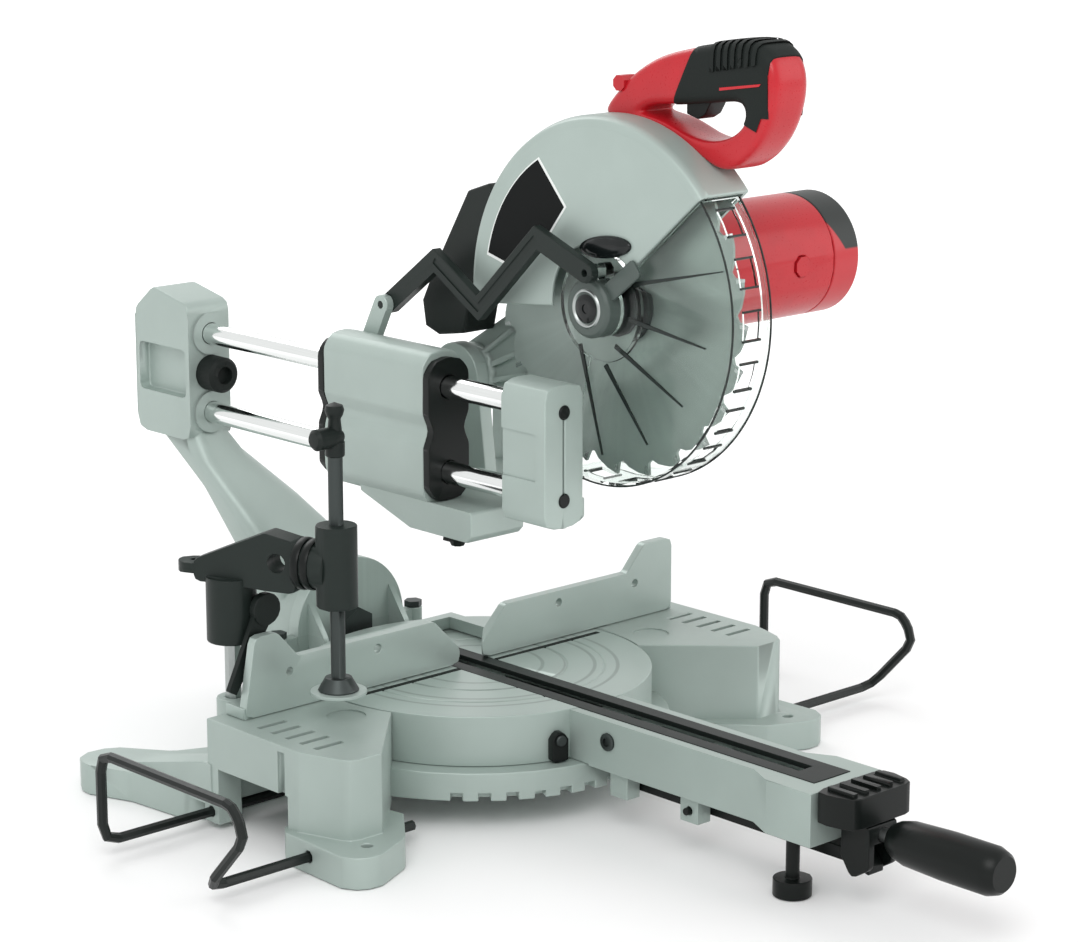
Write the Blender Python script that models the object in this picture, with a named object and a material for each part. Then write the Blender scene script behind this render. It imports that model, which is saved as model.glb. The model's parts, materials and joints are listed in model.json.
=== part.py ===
"""Sliding mitre saw with side rails, modelled piece by piece.

Metres, +Z up. The origin is on the bench, under the middle of the whole saw. +X is
the user's right, -Y is the front where the table arm points, +Y is the back. Sizes
below are counted from the turntable's centre, and the saw frame shifts them all.
The head is raised, and the carriage stands part way along its rails.
"""
import math

import bmesh
import bpy
from mathutils import Matrix, Vector

# Clearances and joins
FIT = 0.0003            # gap between pieces that touch
RUNNING = 0.0015        # gap round pieces that turn or slide
OVERRUN = 0.003         # how far a cutter passes the face it cuts
SINK = 0.001            # how deep joined shapes reach into each other

# Facets
ROUND = 24
MEDIUM_ROUND = 16
SMALL_ROUND = 8
WIRE_ROUND = 8
GUARD_STEPS = 18
CORNER_STEPS = 2
TABLE_ROUND = 36

# Table and base casting
TABLE_HEIGHT = 0.085
TURNTABLE_RADIUS = 0.1367
WALL = 0.005
RING_PROUD = 0.0153
RING_RADIUS = TURNTABLE_RADIUS + RING_PROUD
RING_TOP = 0.046
RING_BOTTOM = 0.024
RING_FLOOR = 0.008
RING_LIP = 0.034
HUB_RADIUS = 0.022
MITRE_BOLT_RADIUS = 0.006
NOTCH_WIDTH = 0.009
NOTCH_HEIGHT = 0.006
NOTCH_DEPTH = 0.010
NOTCH_COUNT = 13
NOTCH_STEP = math.radians(8)
WING_OUTER_X = 0.240
WING_SHOULDER_X = 0.226
WING_NOSE_X = 0.197
WING_ROOT_X = 0.130
WING_ROOT_Y = -0.048
WING_FRONT_Y = -0.117
WING_SHOULDER_Y = -0.075
WING_REAR_Y = 0.034
WING_BOTTOM = 0.018
WING_CORNER = 0.012
SIDE_WINDOW_TOP = 0.048
SIDE_WINDOW_FRONT_Y = -0.062
SIDE_SLOT_WIDTH = 0.008
SIDE_SLOT_Y = -0.055
SIDE_SLOT_DEPTH = 0.004
TABLE_SLOT_X = 0.214
TABLE_SLOT_LENGTH = 0.026
TABLE_SLOT_WIDTH = 0.005
TABLE_SLOT_PITCH = 0.0165
TABLE_SLOT_FRONT_Y = -0.078
TABLE_SLOT_COUNT = 5
DIMPLE_X = 0.160
DIMPLE_Y = -0.032
DIMPLE_RADIUS = 0.015
DIMPLE_DEPTH = 0.001
FOOT_HEIGHT = 0.024
FRONT_FOOT = ((0.150, -0.085), (0.190, -0.134), (0.230, -0.152), (0.250, -0.140), (0.247, -0.060), (0.205, -0.045))
FRONT_HOLE = (0.221, -0.128)
REAR_LEG = ((0.118, 0.095), (0.140, 0.050), (0.243, 0.048), (0.250, 0.118), (0.266, 0.160), (0.254, 0.182),
            (0.226, 0.180), (0.196, 0.138), (0.150, 0.118))
REAR_HOLE = (0.240, 0.158)
REAR_LEG_ROOT_TOP = 0.050
REAR_LEG_INNER_X = 0.212
FOOT_CORNER = 0.012
FOOT_HOLE_RADIUS = 0.0045

# Clamp post boss on each wing
POST_X = 0.205
POST_Y = 0.046
POST_BOSS_RADIUS = 0.013
POST_BOSS_BOTTOM = 0.030
POST_BOSS_PROUD = 0.007
POST_BOSS_TOP = TABLE_HEIGHT + POST_BOSS_PROUD
POST_RADIUS = 0.0062

# Extension wires
WIRE_RADIUS = 0.004
WIRE_ROD_Z = 0.013
WIRE_REAR_Y = 0.030
WIRE_FRONT_Y = -0.095
WIRE_NOSE_Y = -0.140
WIRE_OUT_LEFT = 0.098
WIRE_OUT_RIGHT = 0.122
WIRE_INSIDE = 0.090
WIRE_BEND = 0.014
WIRE_LUG_HALF = 0.009
WIRE_LUG_LENGTH = 0.022

# Fence
FENCE_Y = 0.008
FENCE_THICKNESS = 0.008
FENCE_GAP_X = 0.012
FENCE_TOE_HEIGHT = 0.014
FENCE_SLOPE_X = 0.038
FENCE_LOW_HEIGHT = 0.040
FENCE_STEP_X = 0.172
FENCE_SHOULDER_X = 0.192
FENCE_END_X = 0.224
FENCE_TALL_HEIGHT = 0.062
FENCE_LEFT_LEAN = 0.011
FENCE_CORNER = 0.007
FENCE_HOLES_X = (0.095, 0.181)
FENCE_HOLE_HEIGHT = 0.030
FENCE_HOLE_RADIUS = 0.0035
FENCE_RELIEF = 0.001
FENCE_FOOT_INNER_X = 0.150
FENCE_FOOT_DEPTH = 0.015
FENCE_FOOT_HEIGHT = 0.009
BRIDGE_HALF = 0.052
BRIDGE_REAR_Y = 0.092
BRIDGE_BAND = 0.010
BRIDGE_HEIGHT = 0.011

# Turntable with its arm
TABLE_PLATE = 0.008
SKIRT_WALL = 0.008
GROOVE_RADII = (0.070, 0.100)
GROOVE_WIDTH = 0.0025
GROOVE_DEPTH = 0.001
ARM_HALF = 0.027
ARM_HEAD_HALF = 0.038
ARM_FLARE_Y = -0.322
ARM_HEAD_Y = -0.344
ARM_END_Y = -0.386
ARM_BOTTOM = 0.045
ARM_WALL = 0.005
KERF_HALF = 0.019
KERF_THICKNESS = 0.004
KERF_SLOT_HALF = 0.007
KERF_REAR_Y = 0.062
KERF_FRONT_Y = -0.372
KERF_SCREW_RADIUS = 0.004
STRIP_WIDTH = 0.0045
STRIP_DEPTH = 0.003
STRIP_SHORT = 0.0057
STRIP_OUTER_X = TURNTABLE_RADIUS - STRIP_SHORT
LUG_GAP = 0.030
LUG_PITCH = 0.073
LUG_Y = (-(RING_RADIUS + LUG_GAP), -(RING_RADIUS + LUG_GAP + LUG_PITCH))
LUG_LENGTH = 0.018
LUG_BOTTOM = 0.026
LEVER_PIN_RADIUS = 0.003

# Bevel joint at the back of the turntable
BEVEL_RADIUS = 0.056
BEVEL_OFFSET = 0.004
BEVEL_PLATE_Y = RING_RADIUS + BEVEL_OFFSET
BEVEL_PLATE_THICKNESS = 0.012
NECK_HALF = 0.045
NECK_DROP = 0.019
NECK_TOP = TABLE_HEIGHT - NECK_DROP
BEVEL_BOLT_RADIUS = 0.008
DRUM_RADIUS = 0.055
DRUM_LENGTH = 0.068
BEVEL_KNOB_RADIUS = 0.025
BEVEL_KNOB_LENGTH = 0.034
BEVEL_LEVER_LENGTH = 0.054
STOP_BOLT_X = 0.072
STOP_BOLT_DROP = 0.031
STOP_BOLT_Z = TABLE_HEIGHT - STOP_BOLT_DROP
STOP_BOLT_RADIUS = 0.004
STOP_HEAD_RADIUS = 0.0075

# Rails and the casting that carries them
RAIL_X = -0.066
RAIL_UPPER_Z = 0.323
RAIL_LOWER_Z = 0.258
RAIL_RADIUS = 0.00875
RAIL_FRONT_Y = -0.160
BRACKET_OFFSET = 0.096
BRACKET_DEPTH = 0.073
BRACKET_FRONT_Y = BEVEL_PLATE_Y + BRACKET_OFFSET
BRACKET_REAR_Y = BRACKET_FRONT_Y + BRACKET_DEPTH
RAIL_SEAT = 0.044
RAIL_REAR_Y = BRACKET_FRONT_Y + RAIL_SEAT
BRACKET_HALF = 0.021
BRACKET_BOSS_RADIUS = 0.0172
BUMPER_RADIUS = 0.0145
BUMPER_LENGTH = 0.020
CAP_REAR_Y = -0.122
CAP_LENGTH = 0.046
CAP_HALF = 0.019
CAP_OVER = 0.020
CAP_HOLE_RADIUS = 0.004
CAP_SPLIT = 0.0015

# Rings of the curved neck: centre with its depth counted from the bevel plate, half width, half depth and lean
NECK_RINGS = (((0.000, 0.046, 0.100), 0.050, 0.030, 0.0),
              ((-0.022, 0.050, 0.150), 0.046, 0.030, 0.1),
              ((-0.042, 0.074, 0.190), 0.036, 0.033, 0.3),
              ((-0.060, 0.114, 0.228), 0.025, 0.036, 0.3),
              ((-0.066, 0.134, 0.246), 0.020, 0.034, 0.0))

# Carriage
CARRIAGE_REAR_Y = 0.080
CARRIAGE_FRONT_Y = -0.036
CARRIAGE_HALF = 0.020
CARRIAGE_OVER = 0.026
WAIST_SHARE = 0.72
BUSH_WALL = 0.0035
BUSH_LENGTH = 0.096
SEAL_THICKNESS = 0.007
CROSS_TOP = 0.236
CROSS_BOTTOM = 0.212
CROSS_FRONT_Y = -0.084
CROSS_REAR_Y = -0.014
CROSS_RIGHT_X = 0.070
CROSS_NOSE_X = -0.028
STOP_NOSE_X = 0.058
STOP_NOSE_Y = -0.049
STOP_NOSE_TOP = 0.217
STOP_NOSE_BOTTOM = 0.197
SLIDE_KNOB_X = -0.050
SLIDE_KNOB_Y = -0.034

# Head pivot and head
PIVOT_Y = 0.018
PIVOT_Z = 0.314
PIVOT_PIN_RADIUS = 0.007
HUB_LEFT_X = 0.006
HUB_RIGHT_X = 0.056
PIVOT_HUB_RADIUS = 0.024
PIVOT_LUG_THICKNESS = 0.012
PIVOT_LUG_RADIUS = 0.026
BLADE_Y = -0.157
BLADE_Z = 0.393
BLADE_RADIUS = 0.127
BLADE_THICKNESS = 0.0024
BLADE_TEETH = 24
TOOTH_HEIGHT = 0.011
ARBOR_RADIUS = 0.015
FLANGE_RADIUS = 0.024
FLANGE_THICKNESS = 0.007
SPINDLE_RADIUS = 0.008
BOLT_HEAD_RADIUS = 0.010
BOLT_HEAD_LENGTH = 0.007
GUARD_LEFT_X = -0.025
GUARD_RIGHT_X = 0.024
GUARD_RADIUS = 0.138
GUARD_WALL = 0.003
GUARD_EDGE = 0.009
GUARD_INNER_RADIUS = 0.046
GUARD_START = math.radians(-6)
GUARD_END = math.radians(139)
GEAR_CASE_X = 0.046
GEAR_CASE_RADIUS = 0.050
ARM_RIB_COUNT = 3
ARM_RIB_HEIGHT = 0.004
ARM_RIB_WIDTH = 0.004
SPINDLE_END_X = 0.040

# Lower guard
LOWER_RADIUS = 0.132
LOWER_LEFT_X = -0.020
LOWER_RIGHT_X = 0.019
LOWER_WALL = 0.0022
LOWER_START = math.radians(139)
LOWER_END = math.radians(285)
LOWER_HUB_RADIUS = 0.040
LOWER_BORE = 0.0225
LOWER_FLANGE = 0.008
WINDOW_COUNT = 9
WINDOW_WIDTH = 0.016
LINK_PIN_RADIUS = 0.006
LINK_PIN_OFFSET = 0.030
LINK_PIN_ANGLE = math.radians(109)
COVER_RADIUS = 0.022
COVER_LEFT_X = -0.034
CATCH_ANGLE = math.radians(142)
CATCH_REACH = 0.056
CATCH_HALF = 0.007

# Guard link
LINK_LEFT_X = -0.0455
LINK_RIGHT_X = -0.038
LINK_PIVOT_Y = 0.051
LINK_PIVOT_Z = 0.371
LINK_LUG_FOOT = (0.070, 0.335)
LINK_LUG_THICKNESS = 0.007
LINK_HALF = 0.0075
LINK_KNEES = ((-0.003, 0.411), (-0.052, 0.381), (-0.115, 0.441))

# Motor
MOTOR_Y = -0.152
MOTOR_Z = 0.408
MOTOR_RADIUS = 0.047
MOTOR_END_X = 0.186
MOTOR_CAP_END_X = 0.228
MOTOR_NECK = 0.006
BRUSH_CAP_RADIUS = 0.008
BRUSH_CAP_X = 0.150
VENT_COUNT = 5
VENT_WIDTH = 0.0035
VENT_DEPTH = 0.004

# Handle
HANDLE_LEFT_X = 0.006
HANDLE_RIGHT_X = 0.036
HANDLE_OUTLINE = ((-0.104, 0.500), (-0.118, 0.528), (-0.140, 0.556), (-0.170, 0.573), (-0.298, 0.593),
                  (-0.314, 0.574), (-0.302, 0.528), (-0.262, 0.484), (-0.235, 0.480))
HANDLE_GAP = ((-0.176, 0.536), (-0.192, 0.549), (-0.277, 0.560), (-0.286, 0.548), (-0.268, 0.523), (-0.214, 0.530))
HANDLE_CORNER = 0.012
GRIP_REAR_Y = -0.176
GRIP_FRONT_Y = -0.290
GRIP_SWELL = 0.0015
GRIP_RIBS = 7
TRIGGER_LENGTH = 0.034
TRIGGER_Y = -0.222
LOCK_BUTTON_Y = -0.152
LOCK_BUTTON_Z = 0.552
LOCK_BUTTON_RADIUS = 0.006
LOCK_BUTTON_PROUD = 0.004

# Dust port
PORT_OUTLINE = ((-0.034, 0.470), (-0.006, 0.462), (0.040, 0.398), (0.056, 0.372), (0.052, 0.352),
                (0.034, 0.347), (0.000, 0.352), (-0.008, 0.380), (-0.027, 0.384), (-0.036, 0.440), (-0.046, 0.462))
PORT_MOUTH = (0.056, 0.366)
PORT_MOUTH_DEPTH = 0.044
PORT_LEFT_X = -0.018
PORT_RIGHT_X = 0.0145
PORT_BORE = 0.011

# Mitre lock and arm end
CAP_PLATE_TOP = 0.089
CAP_PLATE_BOTTOM = 0.064
CAP_FRONT_Y = -0.420
CAP_NOSE_HALF = 0.031
CAP_RIBS = 5
LOCK_BODY_HALF = 0.015
LOCK_BODY_BOTTOM = 0.022
LOCK_BODY_REAR_Y = -0.394
LOCK_ROD_RADIUS = 0.005
LOCK_ROD_Z = 0.055
LOCK_ROD_REAR_Y = -0.150
LOCK_GRIP_REAR_Y = -0.430
LOCK_GRIP_LENGTH = 0.096
LOCK_GRIP_RADIUS = 0.0175
LEVER_TOP = 0.040
LEVER_BOTTOM = 0.030
LEVER_HALF = 0.008
LEVER_GAP = 0.012
LEVER_REAR_Y = -(RING_RADIUS + LEVER_GAP)
LEVER_FRONT_Y = -0.404
ARM_FOOT_X = -0.024
ARM_FOOT_Y = -0.358
ARM_FOOT_PAD_RADIUS = 0.014
ARM_FOOT_PAD_HEIGHT = 0.013
ARM_FOOT_SCREW_RADIUS = 0.005

# Clamp
CLAMP_STAND = 0.051
CLAMP_SLEEVE_RADIUS = 0.019
CLAMP_SLEEVE_LENGTH = 0.050
CLAMP_SLEEVE_BOTTOM = TABLE_HEIGHT + CLAMP_STAND
CLAMP_SLEEVE_TOP = CLAMP_SLEEVE_BOTTOM + CLAMP_SLEEVE_LENGTH
CLAMP_POST_PROUD = 0.010
CLAMP_POST_TOP = CLAMP_SLEEVE_TOP + CLAMP_POST_PROUD
CLAMP_ROD_X = -0.170
CLAMP_ROD_Y = -0.036
CLAMP_ROD_RADIUS = 0.0055
CLAMP_BOSS_RADIUS = 0.0155
CLAMP_BOSS_DROP = 0.014
CLAMP_BOSS_LENGTH = 0.062
CLAMP_BOSS_BOTTOM = CLAMP_SLEEVE_TOP - CLAMP_BOSS_DROP
CLAMP_BOSS_TOP = CLAMP_BOSS_BOTTOM + CLAMP_BOSS_LENGTH
CLAMP_ARM_HALF = 0.010
CLAMP_TAIL_REACH = 0.026
CLAMP_TAIL_RISE = 0.012
CLAMP_TAIL_TOP = CLAMP_SLEEVE_TOP + CLAMP_TAIL_RISE
CLAMP_CREST_REACH = 0.034
CLAMP_CREST_RISE = 0.038
CLAMP_CREST_TOP = CLAMP_SLEEVE_TOP + CLAMP_CREST_RISE
CLAMP_END_REACH = 0.060
CLAMP_END_RISE = 0.033
CLAMP_END_TOP = CLAMP_SLEEVE_TOP + CLAMP_END_RISE
CLAMP_THROAT_DROP = 0.006
CLAMP_THROAT_Z = CLAMP_SLEEVE_TOP - CLAMP_THROAT_DROP
CLAMP_EYE_REACH = 0.044
CLAMP_EYE_RISE = 0.016
CLAMP_EYE_Z = CLAMP_SLEEVE_TOP + CLAMP_EYE_RISE
CLAMP_EYE_RADIUS = 0.0075
CLAMP_NUT_RADIUS = 0.018
CLAMP_NUT_NECK = 0.015
CLAMP_NUT_RIM = 0.004
CLAMP_TAB_REACH = 0.031
CLAMP_TAB_RADIUS = 0.012
CLAMP_TAB_THICKNESS = 0.008
CLAMP_TAB_BOTTOM = CLAMP_SLEEVE_TOP + SINK
CLAMP_TAB_TOP = CLAMP_TAB_BOTTOM + CLAMP_TAB_THICKNESS
CLAMP_LEVER_X = -0.193
CLAMP_LEVER_DROP = 0.023
CLAMP_LEVER_Z = CLAMP_SLEEVE_TOP - CLAMP_LEVER_DROP
CLAMP_LEVER_PAD_Y = 0.0245
CLAMP_LEVER_PAD_RADIUS = 0.009
CLAMP_KNOB_RADIUS = 0.0125
CLAMP_KNOB_LENGTH = 0.0065
CLAMP_LEVER_TIP_X = -0.226
CLAMP_LEVER_HANG = 0.059
CLAMP_LEVER_TIP = (CLAMP_LEVER_TIP_X, CLAMP_LEVER_Z - CLAMP_LEVER_HANG)
CLAMP_LEVER_HALF = 0.004
CLAMP_LEVER_ROOT_HALF = 0.0085
CLAMP_OPENING = 0.023
CLAMP_PAD_Z = TABLE_HEIGHT + CLAMP_OPENING
CLAMP_PAD_RADIUS = 0.021
CLAMP_ROD_LENGTH = 0.192
CLAMP_ROD_TOP = CLAMP_PAD_Z + CLAMP_ROD_LENGTH
CLAMP_HANDLE_PROUD = 0.026
CLAMP_HANDLE_TOP = CLAMP_ROD_TOP + CLAMP_HANDLE_PROUD
CLAMP_COLLAR_RADIUS = 0.0078
CLAMP_BAR_HALF = 0.020
CLAMP_BAR_ANGLE = math.radians(45)


# Helpers for building and joining shapes

def make(bm, name="shape"):
    """Turn a bmesh into an object whose faces point outward."""
    bmesh.ops.recalc_face_normals(bm, faces=bm.faces)
    mesh = bpy.data.meshes.new(name)
    bm.to_mesh(mesh)
    bm.free()
    shape = bpy.data.objects.new(name, mesh)
    bpy.context.collection.objects.link(shape)
    return shape


def place(axis, a, b, along):
    """Point with plane coordinates a, b and a distance along the named axis."""
    return {"X": (along, a, b), "Y": (a, along, b), "Z": (a, b, along)}[axis]


def prism(outline, axis, start, end):
    """Closed outline in the plane across an axis, extruded along it."""
    bm = bmesh.new()
    near = [bm.verts.new(place(axis, a, b, start)) for a, b in outline]
    far = [bm.verts.new(place(axis, a, b, end)) for a, b in outline]
    bm.faces.new(near)
    bm.faces.new(far)
    for i in range(len(outline)):
        bm.faces.new((near[i - 1], near[i], far[i], far[i - 1]))
    return make(bm)


def block(x0, x1, y0, y1, z0, z1):
    """Box between two corners."""
    return prism(((x0, y0), (x1, y0), (x1, y1), (x0, y1)), "Z", z0, z1)


def lathe(profile, axis, centre, sides=ROUND):
    """Closed profile of (radius, along) points turned about an axis through centre."""
    bm = bmesh.new()
    rings = []
    for radius, along in profile:
        count = sides if radius > 0 else 1
        ring = []
        for i in range(count):
            angle = 2 * math.pi * (i + 0.5) / sides
            a = centre[0] + radius * math.cos(angle)
            b = centre[1] + radius * math.sin(angle)
            ring.append(bm.verts.new(place(axis, a, b, along)))
        rings.append(ring)
    for k in range(len(rings)):
        first, second = rings[k - 1], rings[k]
        if len(first) == 1 and len(second) == 1:
            continue
        for i in range(sides):
            corners = []
            for vertex in (first[i % len(first)], first[(i + 1) % sides % len(first)],
                           second[(i + 1) % sides % len(second)], second[i % len(second)]):
                if vertex not in corners:
                    corners.append(vertex)
            bm.faces.new(corners)
    return make(bm)


def rod(axis, centre, radius, start, end, sides=MEDIUM_ROUND):
    """Plain cylinder."""
    return lathe(((0, start), (radius, start), (radius, end), (0, end)), axis, centre, sides)


def pipe(axis, centre, outer, inner, start, end, sides=MEDIUM_ROUND):
    """Cylinder with a through bore."""
    return lathe(((inner, start), (outer, start), (outer, end), (inner, end)), axis, centre, sides)


def sector(section, centre, start, end, steps):
    """Closed section of (x, radius) points swept about the X axis between two angles."""
    bm = bmesh.new()
    rings = []
    for i in range(steps + 1):
        angle = start + (end - start) * i / steps
        rings.append([bm.verts.new((x, centre[0] + radius * math.cos(angle), centre[1] + radius * math.sin(angle)))
                      for x, radius in section])
    for first, second in zip(rings, rings[1:]):
        for i in range(len(section)):
            bm.faces.new((first[i - 1], first[i], second[i], second[i - 1]))
    bm.faces.new(rings[0])
    bm.faces.new(rings[-1])
    return make(bm)


def loft(rings):
    """Skin over rings of equal point counts, closed at both ends."""
    bm = bmesh.new()
    loops = [[bm.verts.new(point) for point in ring] for ring in rings]
    for first, second in zip(loops, loops[1:]):
        for i in range(len(first)):
            bm.faces.new((first[i - 1], first[i], second[i], second[i - 1]))
    bm.faces.new(loops[0])
    bm.faces.new(loops[-1])
    bmesh.ops.triangulate(bm, faces=bm.faces)
    return make(bm)


def soften(points, radius, closed=True, steps=CORNER_STEPS):
    """Replace each corner of a polygon or path by a short smooth arc."""
    points = [Vector(point) for point in points]
    result = []
    for i, corner in enumerate(points):
        if not closed and i in (0, len(points) - 1):
            result.append(corner)
            continue
        before = points[i - 1] - corner
        after = points[(i + 1) % len(points)] - corner
        turn = math.pi - before.angle(after)
        reach = min(radius * math.tan(turn / 2), before.length / 2.05, after.length / 2.05)
        first = corner + before.normalized() * reach
        last = corner + after.normalized() * reach
        for k in range(steps + 1):
            t = k / steps
            result.append(first * (1 - t) ** 2 + corner * 2 * t * (1 - t) + last * t ** 2)
    return result


def arc(centre, radius, start, end, steps):
    """Points on a circle between two angles."""
    return [(centre[0] + radius * math.cos(start + (end - start) * i / steps),
             centre[1] + radius * math.sin(start + (end - start) * i / steps)) for i in range(steps + 1)]


def band(path, half_width):
    """Outline of a flat strip that follows a path, with square mitred bends."""
    path = [Vector(point) for point in path]
    left, right = [], []
    for i, point in enumerate(path):
        before = (point - path[i - 1]).normalized() if i else (path[1] - point).normalized()
        after = (path[i + 1] - point).normalized() if i < len(path) - 1 else before
        along = (before + after).normalized()
        side = Vector((-along.y, along.x)) * half_width / max(along.dot(after), 0.5)
        left.append(point + side)
        right.append(point - side)
    return left + right[::-1]


def tube(path, radius, sides=SMALL_ROUND):
    """Round wire along a path, with flat ends."""
    path = [Vector(point) for point in path]
    rings = []
    normal = None
    for i, point in enumerate(path):
        before = (point - path[i - 1]).normalized() if i else (path[1] - point).normalized()
        after = (path[i + 1] - point).normalized() if i < len(path) - 1 else before
        along = (before + after).normalized()
        if normal is None:
            normal = along.orthogonal().normalized()
        normal = (normal - along * normal.dot(along)).normalized()
        across = along.cross(normal)
        rings.append([point + (normal * math.cos(2 * math.pi * k / sides)
                               + across * math.sin(2 * math.pi * k / sides)) * radius for k in range(sides)])
    return loft(rings)


def mirrored(outline):
    """Outline on the other side of the plane x = 0, or across the first coordinate."""
    return [(-point[0], point[1]) for point in outline][::-1]


def operate(target, tools, operation):
    """Add one Boolean per tool, and keep the tools as hidden guides."""
    for tool in tools:
        modifier = target.modifiers.new(operation.title(), "BOOLEAN")
        modifier.operation = operation
        modifier.object = tool
        tool.hide_render = True
        tool.display_type = "WIRE"
    return target


def cut(target, *tools):
    return operate(target, tools, "DIFFERENCE")


def join(target, *tools):
    return operate(target, tools, "UNION")


def material(name, colour, roughness, metallic=0.0):
    """Plain Principled material."""
    made = bpy.data.materials.new(name)
    made.use_nodes = True
    shader = made.node_tree.nodes["Principled BSDF"]
    shader.inputs["Base Color"].default_value = (*colour, 1)
    shader.inputs["Roughness"].default_value = roughness
    shader.inputs["Metallic"].default_value = metallic
    made.diffuse_color = (*colour, 1)
    return made


def pivot(name, location, parent=None):
    """Empty on a joint's axis."""
    empty = bpy.data.objects.new(name, None)
    empty.location = Vector(location) - (position(parent) if parent else Vector())
    empty.parent = parent
    bpy.context.collection.objects.link(empty)
    return empty


def position(empty):
    """Place of an empty, counted from the turntable's centre like all the sizes."""
    place_now = Vector(empty.location)
    while empty.parent:
        empty = empty.parent
        place_now += empty.location
    return place_now


def piece(name, shape, finish, carrier):
    """Name a finished shape, colour it and hang it on the empty that carries it."""
    shape.name = name
    shape.data.name = name
    shape.data.materials.append(finish)
    shape.data.transform(Matrix.Translation(-position(carrier)))
    shape.data.shade_smooth()
    shape.data.set_sharp_from_angle(angle=math.radians(35))
    shape.parent = carrier
    return shape


# Base casting and what is fixed to it

def wing(side):
    """One hollow side of the base, with its foot, rear leg and wire lugs."""
    turn = TURNTABLE_RADIUS + RUNNING
    front_angle = math.asin(WING_ROOT_Y / turn)
    rear_angle = math.asin(WING_REAR_Y / turn)
    inner = arc((0, 0), turn, rear_angle, front_angle, 6)
    outer = soften(((WING_NOSE_X, WING_FRONT_Y), (WING_SHOULDER_X, WING_FRONT_Y), (WING_OUTER_X, WING_SHOULDER_Y),
                    (WING_OUTER_X, WING_REAR_Y)), WING_CORNER, closed=False)
    outline = inner + [tuple(point) for point in outer]
    hollow = ((WING_ROOT_X + 3 * WALL, WING_ROOT_Y), (WING_NOSE_X + WALL, WING_FRONT_Y + WALL),
              (WING_SHOULDER_X - WALL, WING_FRONT_Y + WALL), (WING_OUTER_X - WALL, WING_SHOULDER_Y + WALL),
              (WING_OUTER_X - WALL, WING_REAR_Y - WALL), (WING_ROOT_X + 3 * WALL, WING_REAR_Y - WALL))
    foot = [tuple(point) for point in soften(FRONT_FOOT, FOOT_CORNER, steps=1)]
    leg = [tuple(point) for point in soften(REAR_LEG, FOOT_CORNER, steps=1)]
    leg_side = ((WING_REAR_Y - WALL, WING_BOTTOM), (WING_REAR_Y - WALL, REAR_LEG_ROOT_TOP),
                (WING_REAR_Y + WALL, REAR_LEG_ROOT_TOP), (REAR_HOLE[1] - 3 * WALL, FOOT_HEIGHT),
                (REAR_HOLE[1] - 3 * WALL, WING_BOTTOM))
    if side < 0:
        outline, hollow, foot, leg = (mirrored(shape) for shape in (outline, hollow, foot, leg))
    body = prism(outline, "Z", WING_BOTTOM, TABLE_HEIGHT)
    cavity = prism(hollow, "Z", -OVERRUN, TABLE_HEIGHT - WALL)
    edge = side * (WING_OUTER_X + OVERRUN)
    window = block(side * REAR_LEG_INNER_X, edge, SIDE_WINDOW_FRONT_Y, WING_REAR_Y - 2 * WALL,
                   -OVERRUN, SIDE_WINDOW_TOP)
    side_slot = block(side * (WING_OUTER_X - SIDE_SLOT_DEPTH), edge, SIDE_SLOT_Y - SIDE_SLOT_WIDTH / 2,
                      SIDE_SLOT_Y + SIDE_SLOT_WIDTH / 2, SIDE_WINDOW_TOP, TABLE_HEIGHT - WALL)
    cut(body, cavity, window, side_slot)
    join(body, prism(foot, "Z", 0, FOOT_HEIGHT), prism(leg, "Z", 0, FOOT_HEIGHT),
         prism(leg_side, "X", side * REAR_LEG_INNER_X, side * (WING_OUTER_X + SINK)),
         wire_lug(side), rod("Z", (side * POST_X, POST_Y), POST_BOSS_RADIUS, POST_BOSS_BOTTOM, POST_BOSS_TOP))
    slots = [table_slot(side, i) for i in range(TABLE_SLOT_COUNT)]
    dimple = rod("Z", (side * DIMPLE_X, DIMPLE_Y), DIMPLE_RADIUS, TABLE_HEIGHT - DIMPLE_DEPTH,
                 TABLE_HEIGHT + OVERRUN)
    holes = [rod("Z", (side * x, y), FOOT_HOLE_RADIUS, -OVERRUN, REAR_LEG_ROOT_TOP, SMALL_ROUND)
             for x, y in (FRONT_HOLE, REAR_HOLE)]
    bores = [rod("X", (y, WIRE_ROD_Z), WIRE_RADIUS + 2 * FIT, side * (WING_OUTER_X - WIRE_INSIDE - OVERRUN),
                 side * (WING_OUTER_X + FOOT_HEIGHT), SMALL_ROUND) for y in (WIRE_FRONT_Y, WIRE_REAR_Y)]
    post_bore = rod("Z", (side * POST_X, POST_Y), POST_RADIUS + FIT, POST_BOSS_BOTTOM + WALL,
                    POST_BOSS_TOP + OVERRUN, SMALL_ROUND)
    return cut(body, dimple, post_bore, *slots, *holes, *bores)


def table_slot(side, index):
    """One of the slanting moulded slots in the wing's top."""
    y = TABLE_SLOT_FRONT_Y + TABLE_SLOT_PITCH * index
    half = TABLE_SLOT_LENGTH / 2
    x = side * TABLE_SLOT_X
    outline = ((x - half, y - TABLE_SLOT_WIDTH / 2), (x + half, y - TABLE_SLOT_WIDTH / 2),
               (x + half, y + TABLE_SLOT_WIDTH / 2), (x - half, y + TABLE_SLOT_WIDTH / 2))
    return prism(outline, "Z", TABLE_HEIGHT - WALL - OVERRUN, TABLE_HEIGHT + OVERRUN)


def wire_lug(side):
    """Lug under the wing's rear corner that guides a rod of the extension wire."""
    return block(side * (WING_OUTER_X - WIRE_LUG_LENGTH), side * WING_OUTER_X, WIRE_REAR_Y - WIRE_LUG_HALF,
                 WIRE_REAR_Y + WIRE_LUG_HALF, WIRE_ROD_Z - WIRE_LUG_HALF, SIDE_WINDOW_TOP + SINK)


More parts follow.
